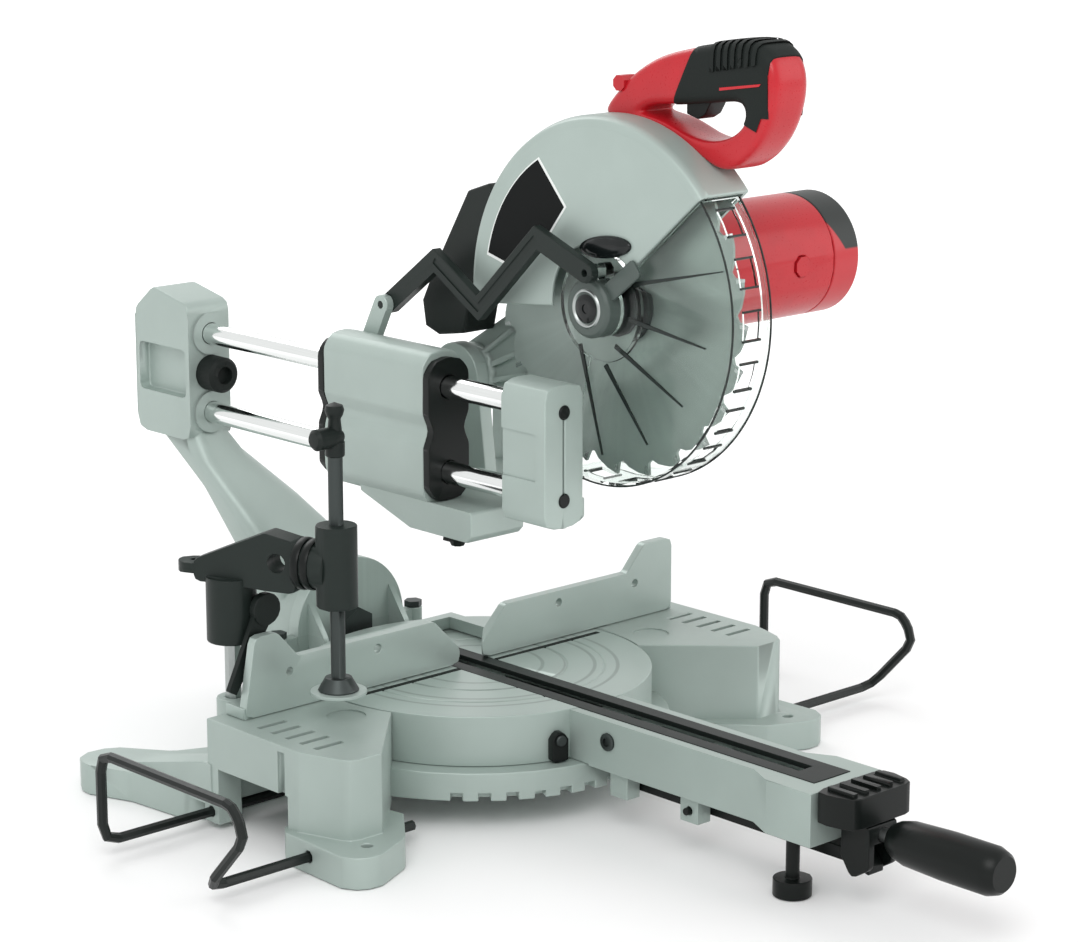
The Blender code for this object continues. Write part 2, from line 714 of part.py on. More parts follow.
def base_ring():
    """Round floor under the turntable, with its hub and the notched scale rim."""
    inner = RING_RADIUS - RING_LIP
    profile = ((MITRE_BOLT_RADIUS + FIT, RING_BOTTOM), (RING_RADIUS, RING_BOTTOM), (RING_RADIUS, RING_TOP),
               (inner, RING_TOP), (inner, RING_BOTTOM + RING_FLOOR), (HUB_RADIUS, RING_BOTTOM + RING_FLOOR),
               (HUB_RADIUS, RING_TOP), (MITRE_BOLT_RADIUS + FIT, RING_TOP))
    ring = lathe(profile, "Z", (0, 0), TABLE_ROUND)
    notches = []
    for i in range(NOTCH_COUNT):
        angle = -math.pi / 2 + NOTCH_STEP * (i - (NOTCH_COUNT - 1) / 2)
        notch = block(RING_RADIUS - NOTCH_DEPTH, RING_RADIUS + OVERRUN, -NOTCH_WIDTH / 2, NOTCH_WIDTH / 2,
                      RING_BOTTOM - OVERRUN, RING_BOTTOM + NOTCH_HEIGHT)
        notch.data.transform(Matrix.Rotation(angle, 4, "Z"))
        notches.append(notch)
    return cut(ring, *notches)


def base_casting():
    """Ring and two wings as one casting."""
    return join(base_ring(), wing(1), wing(-1))


def fence_side(side):
    """Upright half of the fence, with its foot behind."""
    top = TABLE_HEIGHT + FENCE_RELIEF
    low = TABLE_HEIGHT + FENCE_LOW_HEIGHT
    tall = TABLE_HEIGHT + FENCE_TALL_HEIGHT
    lean = FENCE_LEFT_LEAN if side < 0 else 0
    outline = ((FENCE_GAP_X, top), (FENCE_END_X, top), (FENCE_END_X - lean, tall), (FENCE_SHOULDER_X, tall),
               (FENCE_STEP_X, low), (FENCE_SLOPE_X, low), (FENCE_GAP_X, TABLE_HEIGHT + FENCE_TOE_HEIGHT))
    outline = [tuple(point) for point in soften(outline, FENCE_CORNER)]
    foot = (FENCE_FOOT_INNER_X, FENCE_END_X)
    if side < 0:
        outline = mirrored(outline)
    rear = FENCE_Y + FENCE_THICKNESS
    plate = prism(outline, "Y", FENCE_Y, rear)
    base = block(side * foot[0], side * foot[1], FENCE_Y + SINK, rear + FENCE_FOOT_DEPTH,
                 TABLE_HEIGHT + FIT, TABLE_HEIGHT + FENCE_FOOT_HEIGHT)
    join(plate, base)
    holes = [rod("Y", (side * x, TABLE_HEIGHT + FENCE_HOLE_HEIGHT), FENCE_HOLE_RADIUS, FENCE_Y - OVERRUN,
                 rear + OVERRUN, SMALL_ROUND) for x in FENCE_HOLES_X]
    blade_room = prism(((0, rear + OVERRUN), (side * FENCE_GAP_X, FENCE_Y + SINK),
                        (side * (FENCE_GAP_X + FENCE_THICKNESS + OVERRUN), rear + OVERRUN)), "Z",
                       TABLE_HEIGHT, TABLE_HEIGHT + FENCE_TALL_HEIGHT)
    return cut(plate, blade_room, *holes)


def fence():
    """Two upright plates held together by a low band that passes behind the blade."""
    rear = FENCE_Y + FENCE_THICKNESS
    path = ((BRIDGE_HALF, rear - SINK), (BRIDGE_HALF, BRIDGE_REAR_Y), (-BRIDGE_HALF, BRIDGE_REAR_Y),
            (-BRIDGE_HALF, rear - SINK))
    bridge = prism(band(path, BRIDGE_BAND / 2), "Z", TABLE_HEIGHT + FENCE_RELIEF, TABLE_HEIGHT + BRIDGE_HEIGHT)
    return join(bridge, fence_side(1), fence_side(-1))


def extension_wire(side, out):
    """Bent wire that carries long work level with the table."""
    far = side * (WING_OUTER_X + out)
    inner = far - side * (WIRE_INSIDE + out)
    top = TABLE_HEIGHT - WIRE_RADIUS
    nose_drop = (top + WIRE_ROD_Z) / 2
    path = ((inner, WIRE_REAR_Y, WIRE_ROD_Z), (far, WIRE_REAR_Y, WIRE_ROD_Z), (far, WIRE_REAR_Y, top),
            (far, WIRE_NOSE_Y + WIRE_BEND, top), (far, WIRE_NOSE_Y, nose_drop + WIRE_BEND),
            (far, WIRE_FRONT_Y, WIRE_ROD_Z), (inner, WIRE_FRONT_Y, WIRE_ROD_Z))
    return tube(soften(path, WIRE_BEND, closed=False), WIRE_RADIUS, WIRE_ROUND)


# Turntable and what turns with it

def arm_outline(half, head_half, rear, end):
    """Plan of the arm: straight, then flared at the head."""
    return ((-half, rear), (-half, ARM_FLARE_Y), (-head_half, ARM_HEAD_Y), (-head_half, end),
            (head_half, end), (head_half, ARM_HEAD_Y), (half, ARM_FLARE_Y), (half, rear))


def table_disc():
    """Round table top with its skirt, its hub and shallow rings in the top."""
    bottom = RING_TOP + FIT
    under = TABLE_HEIGHT - TABLE_PLATE
    profile = [(MITRE_BOLT_RADIUS + FIT, bottom), (HUB_RADIUS, bottom), (HUB_RADIUS, under),
               (TURNTABLE_RADIUS - SKIRT_WALL, under), (TURNTABLE_RADIUS - SKIRT_WALL, bottom),
               (TURNTABLE_RADIUS, bottom), (TURNTABLE_RADIUS, TABLE_HEIGHT)]
    for radius in reversed(GROOVE_RADII):
        profile += [(radius + GROOVE_WIDTH / 2, TABLE_HEIGHT), (radius, TABLE_HEIGHT - GROOVE_DEPTH),
                    (radius - GROOVE_WIDTH / 2, TABLE_HEIGHT)]
    profile.append((MITRE_BOLT_RADIUS + FIT, TABLE_HEIGHT))
    return lathe(profile, "Z", (0, 0), TABLE_ROUND)


def table_neck():
    """Neck over the rim at the back, ending in the round face that the head tilts on."""
    seat_bottom = RING_TOP + FIT
    plate_end = BEVEL_PLATE_Y + BEVEL_PLATE_THICKNESS
    neck = block(-NECK_HALF, NECK_HALF, TURNTABLE_RADIUS - SKIRT_WALL, BEVEL_PLATE_Y + SINK, seat_bottom, NECK_TOP)
    face = rod("Y", (0, TABLE_HEIGHT), BEVEL_RADIUS, BEVEL_PLATE_Y, plate_end, ROUND)
    ears = [rod("Z", (x, (BEVEL_PLATE_Y + plate_end) / 2), STOP_HEAD_RADIUS, STOP_BOLT_Z, TABLE_HEIGHT)
            for x in (-STOP_BOLT_X, STOP_BOLT_X)]
    web = block(-STOP_BOLT_X, STOP_BOLT_X, BEVEL_PLATE_Y + SINK, plate_end - SINK, STOP_BOLT_Z + SINK,
                TABLE_HEIGHT - SINK)
    gussets = [prism(((TURNTABLE_RADIUS - SKIRT_WALL, seat_bottom + SINK), (BEVEL_PLATE_Y + SINK, seat_bottom + SINK),
                      (BEVEL_PLATE_Y + SINK, TABLE_HEIGHT + BEVEL_RADIUS / 2),
                      (TURNTABLE_RADIUS - SINK, TABLE_HEIGHT - SINK)), "X", side * (NECK_HALF - WALL), side * NECK_HALF)
               for side in (-1, 1)]
    return [neck, face, web, *ears, *gussets]


def turntable():
    """Round table with its long hollow arm and its neck at the back."""
    bottom = RING_TOP + FIT
    under = TABLE_HEIGHT - TABLE_PLATE
    disc = table_disc()
    root = -(RING_RADIUS + RUNNING)
    arm = prism(arm_outline(ARM_HALF, ARM_HEAD_HALF, -TURNTABLE_RADIUS + SKIRT_WALL / 2, ARM_END_Y), "Z",
                ARM_BOTTOM, TABLE_HEIGHT - SINK / 2)
    step = block(-ARM_HALF - OVERRUN, ARM_HALF + OVERRUN, root, 0, ARM_BOTTOM - OVERRUN, bottom)
    cut(arm, step)
    inside = prism(arm_outline(ARM_HALF - ARM_WALL, ARM_HEAD_HALF - ARM_WALL, root - ARM_WALL,
                               ARM_END_Y + ARM_WALL), "Z", ARM_BOTTOM - OVERRUN, under)
    lugs = [block(-ARM_HALF + ARM_WALL - SINK, ARM_HALF - ARM_WALL + SINK, y - LUG_LENGTH / 2, y + LUG_LENGTH / 2,
                  LUG_BOTTOM, under + SINK) for y in LUG_Y]
    foot_boss = block(ARM_FOOT_X - 2 * WALL, ARM_FOOT_X + 2 * WALL, ARM_FOOT_Y - 2 * WALL, ARM_FOOT_Y + 2 * WALL,
                      ARM_BOTTOM + SINK, under + SINK)
    join(disc, arm)
    cut(disc, inside)
    join(disc, *lugs, foot_boss, *table_neck())
    kerf_seat = block(-KERF_HALF - FIT, KERF_HALF + FIT, KERF_FRONT_Y - FIT, KERF_REAR_Y + FIT,
                      TABLE_HEIGHT - KERF_THICKNESS - FIT, TABLE_HEIGHT + OVERRUN)
    kerf_well = block(-KERF_SLOT_HALF - WALL, KERF_SLOT_HALF + WALL, KERF_FRONT_Y + 4 * WALL, KERF_REAR_Y - 2 * WALL,
                      under - 3 * WALL, TABLE_HEIGHT - SINK)
    strip_seats = [block(side * (KERF_HALF - SINK), side * (STRIP_OUTER_X + FIT), -STRIP_WIDTH / 2 - FIT,
                         STRIP_WIDTH / 2 + FIT, TABLE_HEIGHT - STRIP_DEPTH - FIT, TABLE_HEIGHT + OVERRUN)
                   for side in (-1, 1)]
    bolt_bore = rod("Y", (0, TABLE_HEIGHT), BEVEL_BOLT_RADIUS + FIT, BEVEL_PLATE_Y - OVERRUN,
                    BEVEL_PLATE_Y + BEVEL_PLATE_THICKNESS + OVERRUN, SMALL_ROUND)
    lever_slot = block(-LEVER_HALF - RUNNING, LEVER_HALF + RUNNING, LUG_Y[1] - LUG_LENGTH, LUG_Y[0] + LUG_LENGTH,
                       LUG_BOTTOM - OVERRUN, LEVER_TOP + 2 * RUNNING)
    rod_bore = rod("Y", (0, LOCK_ROD_Z), LOCK_ROD_RADIUS + RUNNING, ARM_END_Y - OVERRUN, LOCK_ROD_REAR_Y + WALL,
                   SMALL_ROUND)
    pin_bore = rod("X", (LUG_Y[1], (LEVER_TOP + LEVER_BOTTOM) / 2), LEVER_PIN_RADIUS + FIT, -ARM_HALF - OVERRUN,
                   ARM_HALF + OVERRUN, SMALL_ROUND)
    stop_bores = [rod("Z", (x, BEVEL_PLATE_Y + BEVEL_PLATE_THICKNESS / 2), STOP_BOLT_RADIUS + FIT,
                      STOP_BOLT_Z - OVERRUN, TABLE_HEIGHT + OVERRUN, SMALL_ROUND)
                  for x in (-STOP_BOLT_X, STOP_BOLT_X)]
    foot_bore = rod("Z", (ARM_FOOT_X, ARM_FOOT_Y), ARM_FOOT_SCREW_RADIUS + FIT, ARM_BOTTOM - OVERRUN,
                    under - SINK, SMALL_ROUND)
    return cut(disc, kerf_seat, kerf_well, *strip_seats, lever_slot, rod_bore, pin_bore, *stop_bores, foot_bore,
               bolt_bore)


def kerf_plate():
    """Plate let into the table, slotted for the blade."""
    plate = block(-KERF_HALF, KERF_HALF, KERF_FRONT_Y, KERF_REAR_Y, TABLE_HEIGHT - KERF_THICKNESS, TABLE_HEIGHT)
    slot = block(-KERF_SLOT_HALF, KERF_SLOT_HALF, KERF_FRONT_Y + 5 * WALL, KERF_REAR_Y - 3 * WALL,
                 TABLE_HEIGHT - KERF_THICKNESS - OVERRUN, TABLE_HEIGHT + OVERRUN)
    return cut(plate, slot)


def wear_strip(side):
    """Dark strip let into the table in front of the fence."""
    return block(side * (KERF_HALF + FIT + FIT), side * STRIP_OUTER_X, -STRIP_WIDTH / 2, STRIP_WIDTH / 2,
                 TABLE_HEIGHT - STRIP_DEPTH, TABLE_HEIGHT)


def mitre_pivot_bolt():
    """Bolt that holds the turntable down on the base."""
    shank = rod("Z", (0, 0), MITRE_BOLT_RADIUS, RING_BOTTOM - FIT - SINK,
                TABLE_HEIGHT - TABLE_PLATE - 4 * WALL, SMALL_ROUND)
    head = rod("Z", (0, 0), 2 * MITRE_BOLT_RADIUS, RING_BOTTOM - FIT - WALL, RING_BOTTOM - FIT, 6)
    return join(shank, head)


def arm_end_cap():
    """Ribbed plastic cap that closes the arm's end."""
    rear = ARM_END_Y - FIT
    outline = ((-ARM_HEAD_HALF, rear), (-CAP_NOSE_HALF, CAP_FRONT_Y), (CAP_NOSE_HALF, CAP_FRONT_Y),
               (ARM_HEAD_HALF, rear))
    cap = prism(soften(outline, 2 * WALL), "Z", CAP_PLATE_BOTTOM, CAP_PLATE_TOP - WALL / 2)
    ribs = []
    for i in range(CAP_RIBS):
        x = (i - (CAP_RIBS - 1) / 2) * 2 * CAP_NOSE_HALF / CAP_RIBS
        ribs.append(block(x - WALL / 2, x + WALL / 2, CAP_FRONT_Y + WALL, rear - WALL, CAP_PLATE_TOP - WALL,
                          CAP_PLATE_TOP))
    return join(cap, *ribs)


def mitre_lock_body():
    """Hanging body under the arm's end that the lock rod screws through."""
    outline = ((LOCK_BODY_REAR_Y, CAP_PLATE_BOTTOM - FIT), (LOCK_BODY_REAR_Y, LOCK_BODY_BOTTOM + 3 * WALL),
               (LOCK_BODY_REAR_Y - 2 * WALL, LOCK_BODY_BOTTOM), (CAP_FRONT_Y, LOCK_BODY_BOTTOM + 2 * WALL),
               (CAP_FRONT_Y, CAP_PLATE_BOTTOM - FIT))
    body = prism(soften(outline, WALL), "X", -LOCK_BODY_HALF, LOCK_BODY_HALF)
    rod_bore = rod("Y", (0, LOCK_ROD_Z), LOCK_ROD_RADIUS + FIT, CAP_FRONT_Y - OVERRUN, LOCK_BODY_REAR_Y + OVERRUN)
    slot = block(-LEVER_HALF - RUNNING, LEVER_HALF + RUNNING, CAP_FRONT_Y - OVERRUN, LOCK_BODY_REAR_Y + OVERRUN,
                 LOCK_BODY_BOTTOM - OVERRUN, LOCK_ROD_Z - LOCK_ROD_RADIUS - FIT)
    return cut(body, rod_bore, slot)


def mitre_lock_rod():
    """Long rod that presses on the base's rim when it is turned."""
    return rod("Y", (0, LOCK_ROD_Z), LOCK_ROD_RADIUS, LOCK_GRIP_REAR_Y - LOCK_GRIP_LENGTH / 2, LOCK_ROD_REAR_Y)


def mitre_lock_grip():
    """Round grip on the front end of the lock rod."""
    front = LOCK_GRIP_REAR_Y - LOCK_GRIP_LENGTH
    radius = LOCK_GRIP_RADIUS
    bore = LOCK_ROD_RADIUS + FIT
    profile = ((bore, LOCK_GRIP_REAR_Y), (radius * 0.62, LOCK_GRIP_REAR_Y), (radius * 0.78, LOCK_GRIP_REAR_Y - WALL),
               (radius * 0.92, LOCK_GRIP_REAR_Y - 3 * WALL), (radius, LOCK_GRIP_REAR_Y - LOCK_GRIP_LENGTH / 2),
               (radius, front + 2 * WALL), (radius - WALL / 2, front + WALL / 2), (radius - WALL, front),
               (0, front), (0, front + LOCK_GRIP_LENGTH / 2 - FIT), (bore, front + LOCK_GRIP_LENGTH / 2 - FIT))
    return lathe(profile, "Y", (0, LOCK_ROD_Z), MEDIUM_ROUND)


def detent_lever():
    """Sprung bar under the arm whose rear tooth drops into the rim's notches."""
    tooth = NOTCH_WIDTH / 2 - RUNNING
    bar = block(-LEVER_HALF, LEVER_HALF, LEVER_FRONT_Y, LEVER_REAR_Y, LEVER_BOTTOM, LEVER_TOP)
    tab = prism(((LEVER_FRONT_Y, LEVER_TOP), (LEVER_FRONT_Y - 2 * WALL, LEVER_BOTTOM),
                 (LEVER_FRONT_Y - 2 * WALL, LEVER_BOTTOM - WALL), (LEVER_FRONT_Y + 2 * WALL, LEVER_BOTTOM)),
                "X", -LEVER_HALF, LEVER_HALF)
    nose = block(-tooth, tooth, LEVER_REAR_Y - WALL, -RING_RADIUS - RUNNING, LEVER_BOTTOM - WALL, LEVER_BOTTOM + SINK)
    pin = rod("X", (LUG_Y[1], (LEVER_TOP + LEVER_BOTTOM) / 2), LEVER_PIN_RADIUS, -ARM_HALF, ARM_HALF, SMALL_ROUND)
    return join(bar, tab, nose, pin)


def arm_foot():
    """Screw foot that steadies the arm on the bench."""
    pad = rod("Z", (ARM_FOOT_X, ARM_FOOT_Y), ARM_FOOT_PAD_RADIUS, 0, ARM_FOOT_PAD_HEIGHT)
    screw = rod("Z", (ARM_FOOT_X, ARM_FOOT_Y), ARM_FOOT_SCREW_RADIUS, ARM_FOOT_PAD_HEIGHT - SINK,
                TABLE_HEIGHT - TABLE_PLATE - 3 * WALL, SMALL_ROUND)
    return join(pad, screw)


def mitre_pointer():
    """Small pointer on the left of the arm's root, over the scale rim."""
    y = -TURNTABLE_RADIUS - 2 * WALL
    outline = ((-ARM_HALF - FIT, y + 2 * WALL), (-ARM_HALF - FIT, y - 2 * WALL), (-ARM_HALF - 3 * WALL, y - WALL),
               (-ARM_HALF - 3 * WALL, y + WALL))
    return prism(outline, "Z", RING_TOP + RUNNING, RING_TOP + 4 * WALL)


def stop_bolt(side):
    """Adjustable stop under the tilting drum's lug."""
    centre = (side * STOP_BOLT_X, BEVEL_PLATE_Y + BEVEL_PLATE_THICKNESS / 2)
    shank = rod("Z", centre, STOP_BOLT_RADIUS, STOP_BOLT_Z - 2 * WALL, TABLE_HEIGHT + WALL, SMALL_ROUND)
    head = rod("Z", centre, STOP_HEAD_RADIUS, TABLE_HEIGHT + FIT, TABLE_HEIGHT + WALL + FIT, 6)
    return join(shank, head)


def bevel_bolt():
    """Bolt that the head tilts on."""
    end = BEVEL_PLATE_Y + BEVEL_PLATE_THICKNESS + DRUM_LENGTH + BEVEL_KNOB_LENGTH / 2
    shank = rod("Y", (0, TABLE_HEIGHT), BEVEL_BOLT_RADIUS, BEVEL_PLATE_Y - WALL, end, SMALL_ROUND)
    head = rod("Y", (0, TABLE_HEIGHT), 2 * BEVEL_BOLT_RADIUS, BEVEL_PLATE_Y - FIT - 2 * WALL, BEVEL_PLATE_Y - FIT, 6)
    return join(shank, head)


def bevel_knob():
    """Round lock knob with a short lever on the back end of the bevel bolt."""
    start = BEVEL_PLATE_Y + BEVEL_PLATE_THICKNESS + DRUM_LENGTH + 2 * FIT
    end = start + BEVEL_KNOB_LENGTH
    bore = BEVEL_BOLT_RADIUS + FIT
    middle = (start + end) / 2 + FIT
    profile = ((bore, start), (BEVEL_KNOB_RADIUS - WALL, start), (BEVEL_KNOB_RADIUS, start + WALL),
               (BEVEL_KNOB_RADIUS, middle + WALL), (BEVEL_KNOB_RADIUS - 2 * WALL, end), (0, end), (0, middle),
               (bore, middle))
    knob = lathe(profile, "Y", (0, TABLE_HEIGHT), MEDIUM_ROUND)
    tip = TABLE_HEIGHT - BEVEL_LEVER_LENGTH
    lever = prism(soften(((-WALL, TABLE_HEIGHT - BEVEL_KNOB_RADIUS / 2), (WALL, TABLE_HEIGHT - BEVEL_KNOB_RADIUS / 2),
                          (WALL, tip), (-WALL, tip)), WALL / 2), "Y", middle + WALL, end - WALL)
    return join(knob, lever)


# Tilting rear arm and rails

def oval(centre, half_x, half_y, lean, count=16):
    """Rounded ring of points across a leaning path in the YZ plane."""
    points = []
    for i in range(count):
        angle = 2 * math.pi * (i + 0.5) / count
        c, s = math.cos(angle), math.sin(angle)
        u = math.copysign(abs(c) ** 0.55, c) * half_x
        v = math.copysign(abs(s) ** 0.55, s) * half_y
        points.append((centre[0] + u, centre[1] + v * math.cos(lean), centre[2] + v * math.sin(lean)))
    return points


def tilt_arm():
    """Casting that rises from the bevel drum to the two rail bosses."""
    start = BEVEL_PLATE_Y + BEVEL_PLATE_THICKNESS + FIT
    end = start + DRUM_LENGTH - FIT
    drum = rod("Y", (0, TABLE_HEIGHT), DRUM_RADIUS, start, end, ROUND)
    bracket_y = (BRACKET_FRONT_Y + BRACKET_REAR_Y) / 2
    low = RAIL_LOWER_Z - BRACKET_BOSS_RADIUS
    sweep = loft([oval((x, BEVEL_PLATE_Y + y, z), half_x, half_y, lean)
                  for (x, y, z), half_x, half_y, lean in NECK_RINGS])
    outline = soften(((BRACKET_FRONT_Y, low - WALL), (BRACKET_REAR_Y, low - WALL),
                      (BRACKET_REAR_Y, RAIL_UPPER_Z + 3 * WALL),
                      (BRACKET_REAR_Y - 5 * WALL, RAIL_UPPER_Z + 7 * WALL),
                      (BRACKET_FRONT_Y, RAIL_UPPER_Z + 5 * WALL)), 2 * WALL)
    bracket = prism(outline, "X", RAIL_X - BRACKET_HALF, RAIL_X + BRACKET_HALF)
    bosses = [rod("Y", (RAIL_X, z), BRACKET_BOSS_RADIUS, BRACKET_FRONT_Y - WALL / 2, BRACKET_REAR_Y - 2 * WALL, ROUND)
              for z in (RAIL_LOWER_Z, RAIL_UPPER_Z)]
    middle = (RAIL_LOWER_Z + RAIL_UPPER_Z) / 2
    pocket_outline = soften(((BRACKET_FRONT_Y + WALL, middle - 4 * WALL), (BRACKET_REAR_Y - WALL, middle - 4 * WALL),
                             (BRACKET_REAR_Y - WALL, middle + 4 * WALL), (BRACKET_FRONT_Y + WALL, middle + 4 * WALL)),
                            WALL)
    pocket = prism(pocket_outline, "X", RAIL_X - BRACKET_HALF - OVERRUN, RAIL_X - BRACKET_HALF + 2 * WALL)
    bores = [rod("Y", (RAIL_X, z), RAIL_RADIUS + FIT, BRACKET_FRONT_Y - WALL, RAIL_REAR_Y + FIT)
             for z in (RAIL_LOWER_Z, RAIL_UPPER_Z)]
    bolt_bore = rod("Y", (0, TABLE_HEIGHT), BEVEL_BOLT_RADIUS + FIT, start - OVERRUN, end + OVERRUN)
    join(drum, sweep, bracket, *bosses)
    return cut(drum, pocket, *bores, bolt_bore)


def rail(z):
    """Polished steel rail."""
    return rod("Y", (RAIL_X, z), RAIL_RADIUS, RAIL_FRONT_Y, RAIL_REAR_Y)


def rail_bumper():
    """Rubber stop between the rails, with a socket in its face."""
    middle = (RAIL_LOWER_Z + RAIL_UPPER_Z) / 2
    rear = BRACKET_FRONT_Y - FIT
    front = rear - BUMPER_LENGTH
    radius = BUMPER_RADIUS
    profile = ((0, rear), (radius, rear), (radius, front + WALL / 2), (radius - WALL / 2, front),
               (radius / 2, front), (radius / 2, front + WALL), (0, front + WALL))
    return lathe(profile, "Y", (RAIL_X, middle), MEDIUM_ROUND)


def rail_end_cap():
    """Block that clamps the rails' front ends, split between its two holes."""
    outline = ((RAIL_X - CAP_HALF, RAIL_LOWER_Z - CAP_OVER), (RAIL_X + CAP_HALF, RAIL_LOWER_Z - CAP_OVER),
               (RAIL_X + CAP_HALF, RAIL_UPPER_Z + CAP_OVER), (RAIL_X - CAP_HALF, RAIL_UPPER_Z + CAP_OVER))
    front = CAP_REAR_Y - CAP_LENGTH
    block_shape = prism(soften(outline, 2 * WALL), "Y", front, CAP_REAR_Y)
    bores = [rod("Y", (RAIL_X, z), RAIL_RADIUS + FIT, RAIL_FRONT_Y - FIT, CAP_REAR_Y + OVERRUN)
             for z in (RAIL_LOWER_Z, RAIL_UPPER_Z)]
    holes = [rod("Y", (RAIL_X, z), CAP_HOLE_RADIUS, front - OVERRUN, RAIL_FRONT_Y, SMALL_ROUND)
             for z in (RAIL_LOWER_Z, RAIL_UPPER_Z)]
    split = block(RAIL_X - CAP_SPLIT / 2, RAIL_X + CAP_SPLIT / 2, front - OVERRUN, CAP_REAR_Y + OVERRUN,
                  RAIL_LOWER_Z, RAIL_UPPER_Z)
    waist = block(RAIL_X - CAP_HALF - OVERRUN, RAIL_X - CAP_HALF + CAP_SPLIT, front + 2 * WALL,
                  CAP_REAR_Y + OVERRUN, RAIL_LOWER_Z + 3 * WALL, RAIL_UPPER_Z - 3 * WALL)
    return cut(block_shape, *bores, *holes, split, waist)


# Carriage

def carriage_outline(over):
    """Hourglass section round the two rails."""
    top = RAIL_UPPER_Z + over
    bottom = RAIL_LOWER_Z - over
    middle = (RAIL_UPPER_Z + RAIL_LOWER_Z) / 2
    half = CARRIAGE_HALF
    waist = half * WAIST_SHARE
    right = ((RAIL_X + half * 0.6, bottom), (RAIL_X + half, bottom + half * 0.5), (RAIL_X + half, RAIL_LOWER_Z + half),
             (RAIL_X + waist, middle), (RAIL_X + half, RAIL_UPPER_Z - half), (RAIL_X + half, top - half * 0.5),
             (RAIL_X + half * 0.6, top))
    left = [(2 * RAIL_X - x, z) for x, z in reversed(right)]
    return soften(list(right) + left, 2 * WALL, steps=2)


def carriage():
    """Sliding body round the rails, with the cross arm and the lugs that carry the head."""
    body = prism(carriage_outline(CARRIAGE_OVER), "Y", CARRIAGE_FRONT_Y, CARRIAGE_REAR_Y)
    cross_outline = soften(((CROSS_FRONT_Y, CROSS_BOTTOM + WALL), (CROSS_FRONT_Y + WALL, CROSS_BOTTOM),
                            (CROSS_REAR_Y, CROSS_BOTTOM), (PIVOT_Y + PIVOT_LUG_RADIUS, CROSS_TOP - WALL),
                            (PIVOT_Y + PIVOT_LUG_RADIUS, CROSS_TOP), (CROSS_FRONT_Y, CROSS_TOP)), WALL / 2)
    cross = prism(cross_outline, "X", RAIL_X - CARRIAGE_HALF + WALL, CROSS_RIGHT_X)
    lug_shapes = []
    for x in (HUB_LEFT_X - FIT - PIVOT_LUG_THICKNESS, HUB_RIGHT_X + FIT):
        lug_outline = [(PIVOT_Y - PIVOT_LUG_RADIUS - 2 * WALL, CROSS_TOP - SINK)]
        lug_outline += arc((PIVOT_Y, PIVOT_Z), PIVOT_LUG_RADIUS, math.pi, 0, 14)
        lug_outline += [(PIVOT_Y + PIVOT_LUG_RADIUS, CROSS_TOP - SINK)]
        lug_shapes.append(prism(lug_outline, "X", x, x + PIVOT_LUG_THICKNESS))
    link_pivot = (LINK_PIVOT_Y, LINK_PIVOT_Z)
    lug_right = LINK_LEFT_X - FIT
    link_lug = prism(band((LINK_LUG_FOOT, link_pivot), LINK_HALF), "X", lug_right - LINK_LUG_THICKNESS, lug_right)
    link_eye = rod("X", link_pivot, LINK_HALF, lug_right - LINK_LUG_THICKNESS, lug_right)
    join(body, cross, *lug_shapes, link_lug, link_eye)
    blade_room = block(CROSS_NOSE_X, CROSS_RIGHT_X + OVERRUN, CROSS_FRONT_Y - OVERRUN, CROSS_REAR_Y,
                       CROSS_BOTTOM - OVERRUN, CROSS_TOP + OVERRUN)
    bores = [rod("Y", (RAIL_X, z), RAIL_RADIUS + BUSH_WALL + FIT, CARRIAGE_FRONT_Y - OVERRUN,
                 CARRIAGE_REAR_Y + OVERRUN) for z in (RAIL_LOWER_Z, RAIL_UPPER_Z)]
    pin_bore = rod("X", (PIVOT_Y, PIVOT_Z), PIVOT_PIN_RADIUS + FIT, HUB_LEFT_X - PIVOT_LUG_THICKNESS - OVERRUN,
                   CROSS_RIGHT_X + OVERRUN)
    knob_bore = rod("Z", (SLIDE_KNOB_X, SLIDE_KNOB_Y), LEVER_PIN_RADIUS + FIT, CROSS_BOTTOM - OVERRUN,
                    RAIL_LOWER_Z - RAIL_RADIUS - BUSH_WALL - WALL, SMALL_ROUND)
    link_bore = rod("X", link_pivot, LEVER_PIN_RADIUS + FIT, lug_right - LINK_LUG_THICKNESS - OVERRUN,
                    lug_right + OVERRUN, SMALL_ROUND)
    cut(body, blade_room, *bores, pin_bore, knob_bore, link_bore)
    nose_outline = ((STOP_NOSE_Y, STOP_NOSE_BOTTOM + WALL), (STOP_NOSE_Y + WALL, STOP_NOSE_BOTTOM),
                    (CROSS_REAR_Y, STOP_NOSE_BOTTOM), (PIVOT_Y, CROSS_BOTTOM + SINK),
                    (CROSS_REAR_Y + SINK, STOP_NOSE_TOP), (STOP_NOSE_Y, STOP_NOSE_TOP))
    return join(body, prism(nose_outline, "X", STOP_NOSE_X, CROSS_RIGHT_X - SINK))


def slide_bush(z):
    """Plain bearing between a rail and the carriage."""
    middle = (CARRIAGE_FRONT_Y + CARRIAGE_REAR_Y) / 2
    return pipe("Y", (RAIL_X, z), RAIL_RADIUS + BUSH_WALL, RAIL_RADIUS + FIT, middle - BUSH_LENGTH / 2,
                middle + BUSH_LENGTH / 2)


def seal_plate(front):
    """Hourglass wiper plate at one end of the carriage."""
    start = CARRIAGE_FRONT_Y - FIT - SEAL_THICKNESS if front else CARRIAGE_REAR_Y + FIT
    plate = prism(carriage_outline(CARRIAGE_OVER - WALL), "Y", start, start + SEAL_THICKNESS)
    bores = [rod("Y", (RAIL_X, z), RAIL_RADIUS + FIT, start - OVERRUN, start + SEAL_THICKNESS + OVERRUN)
             for z in (RAIL_LOWER_Z, RAIL_UPPER_Z)]
    return cut(plate, *bores)


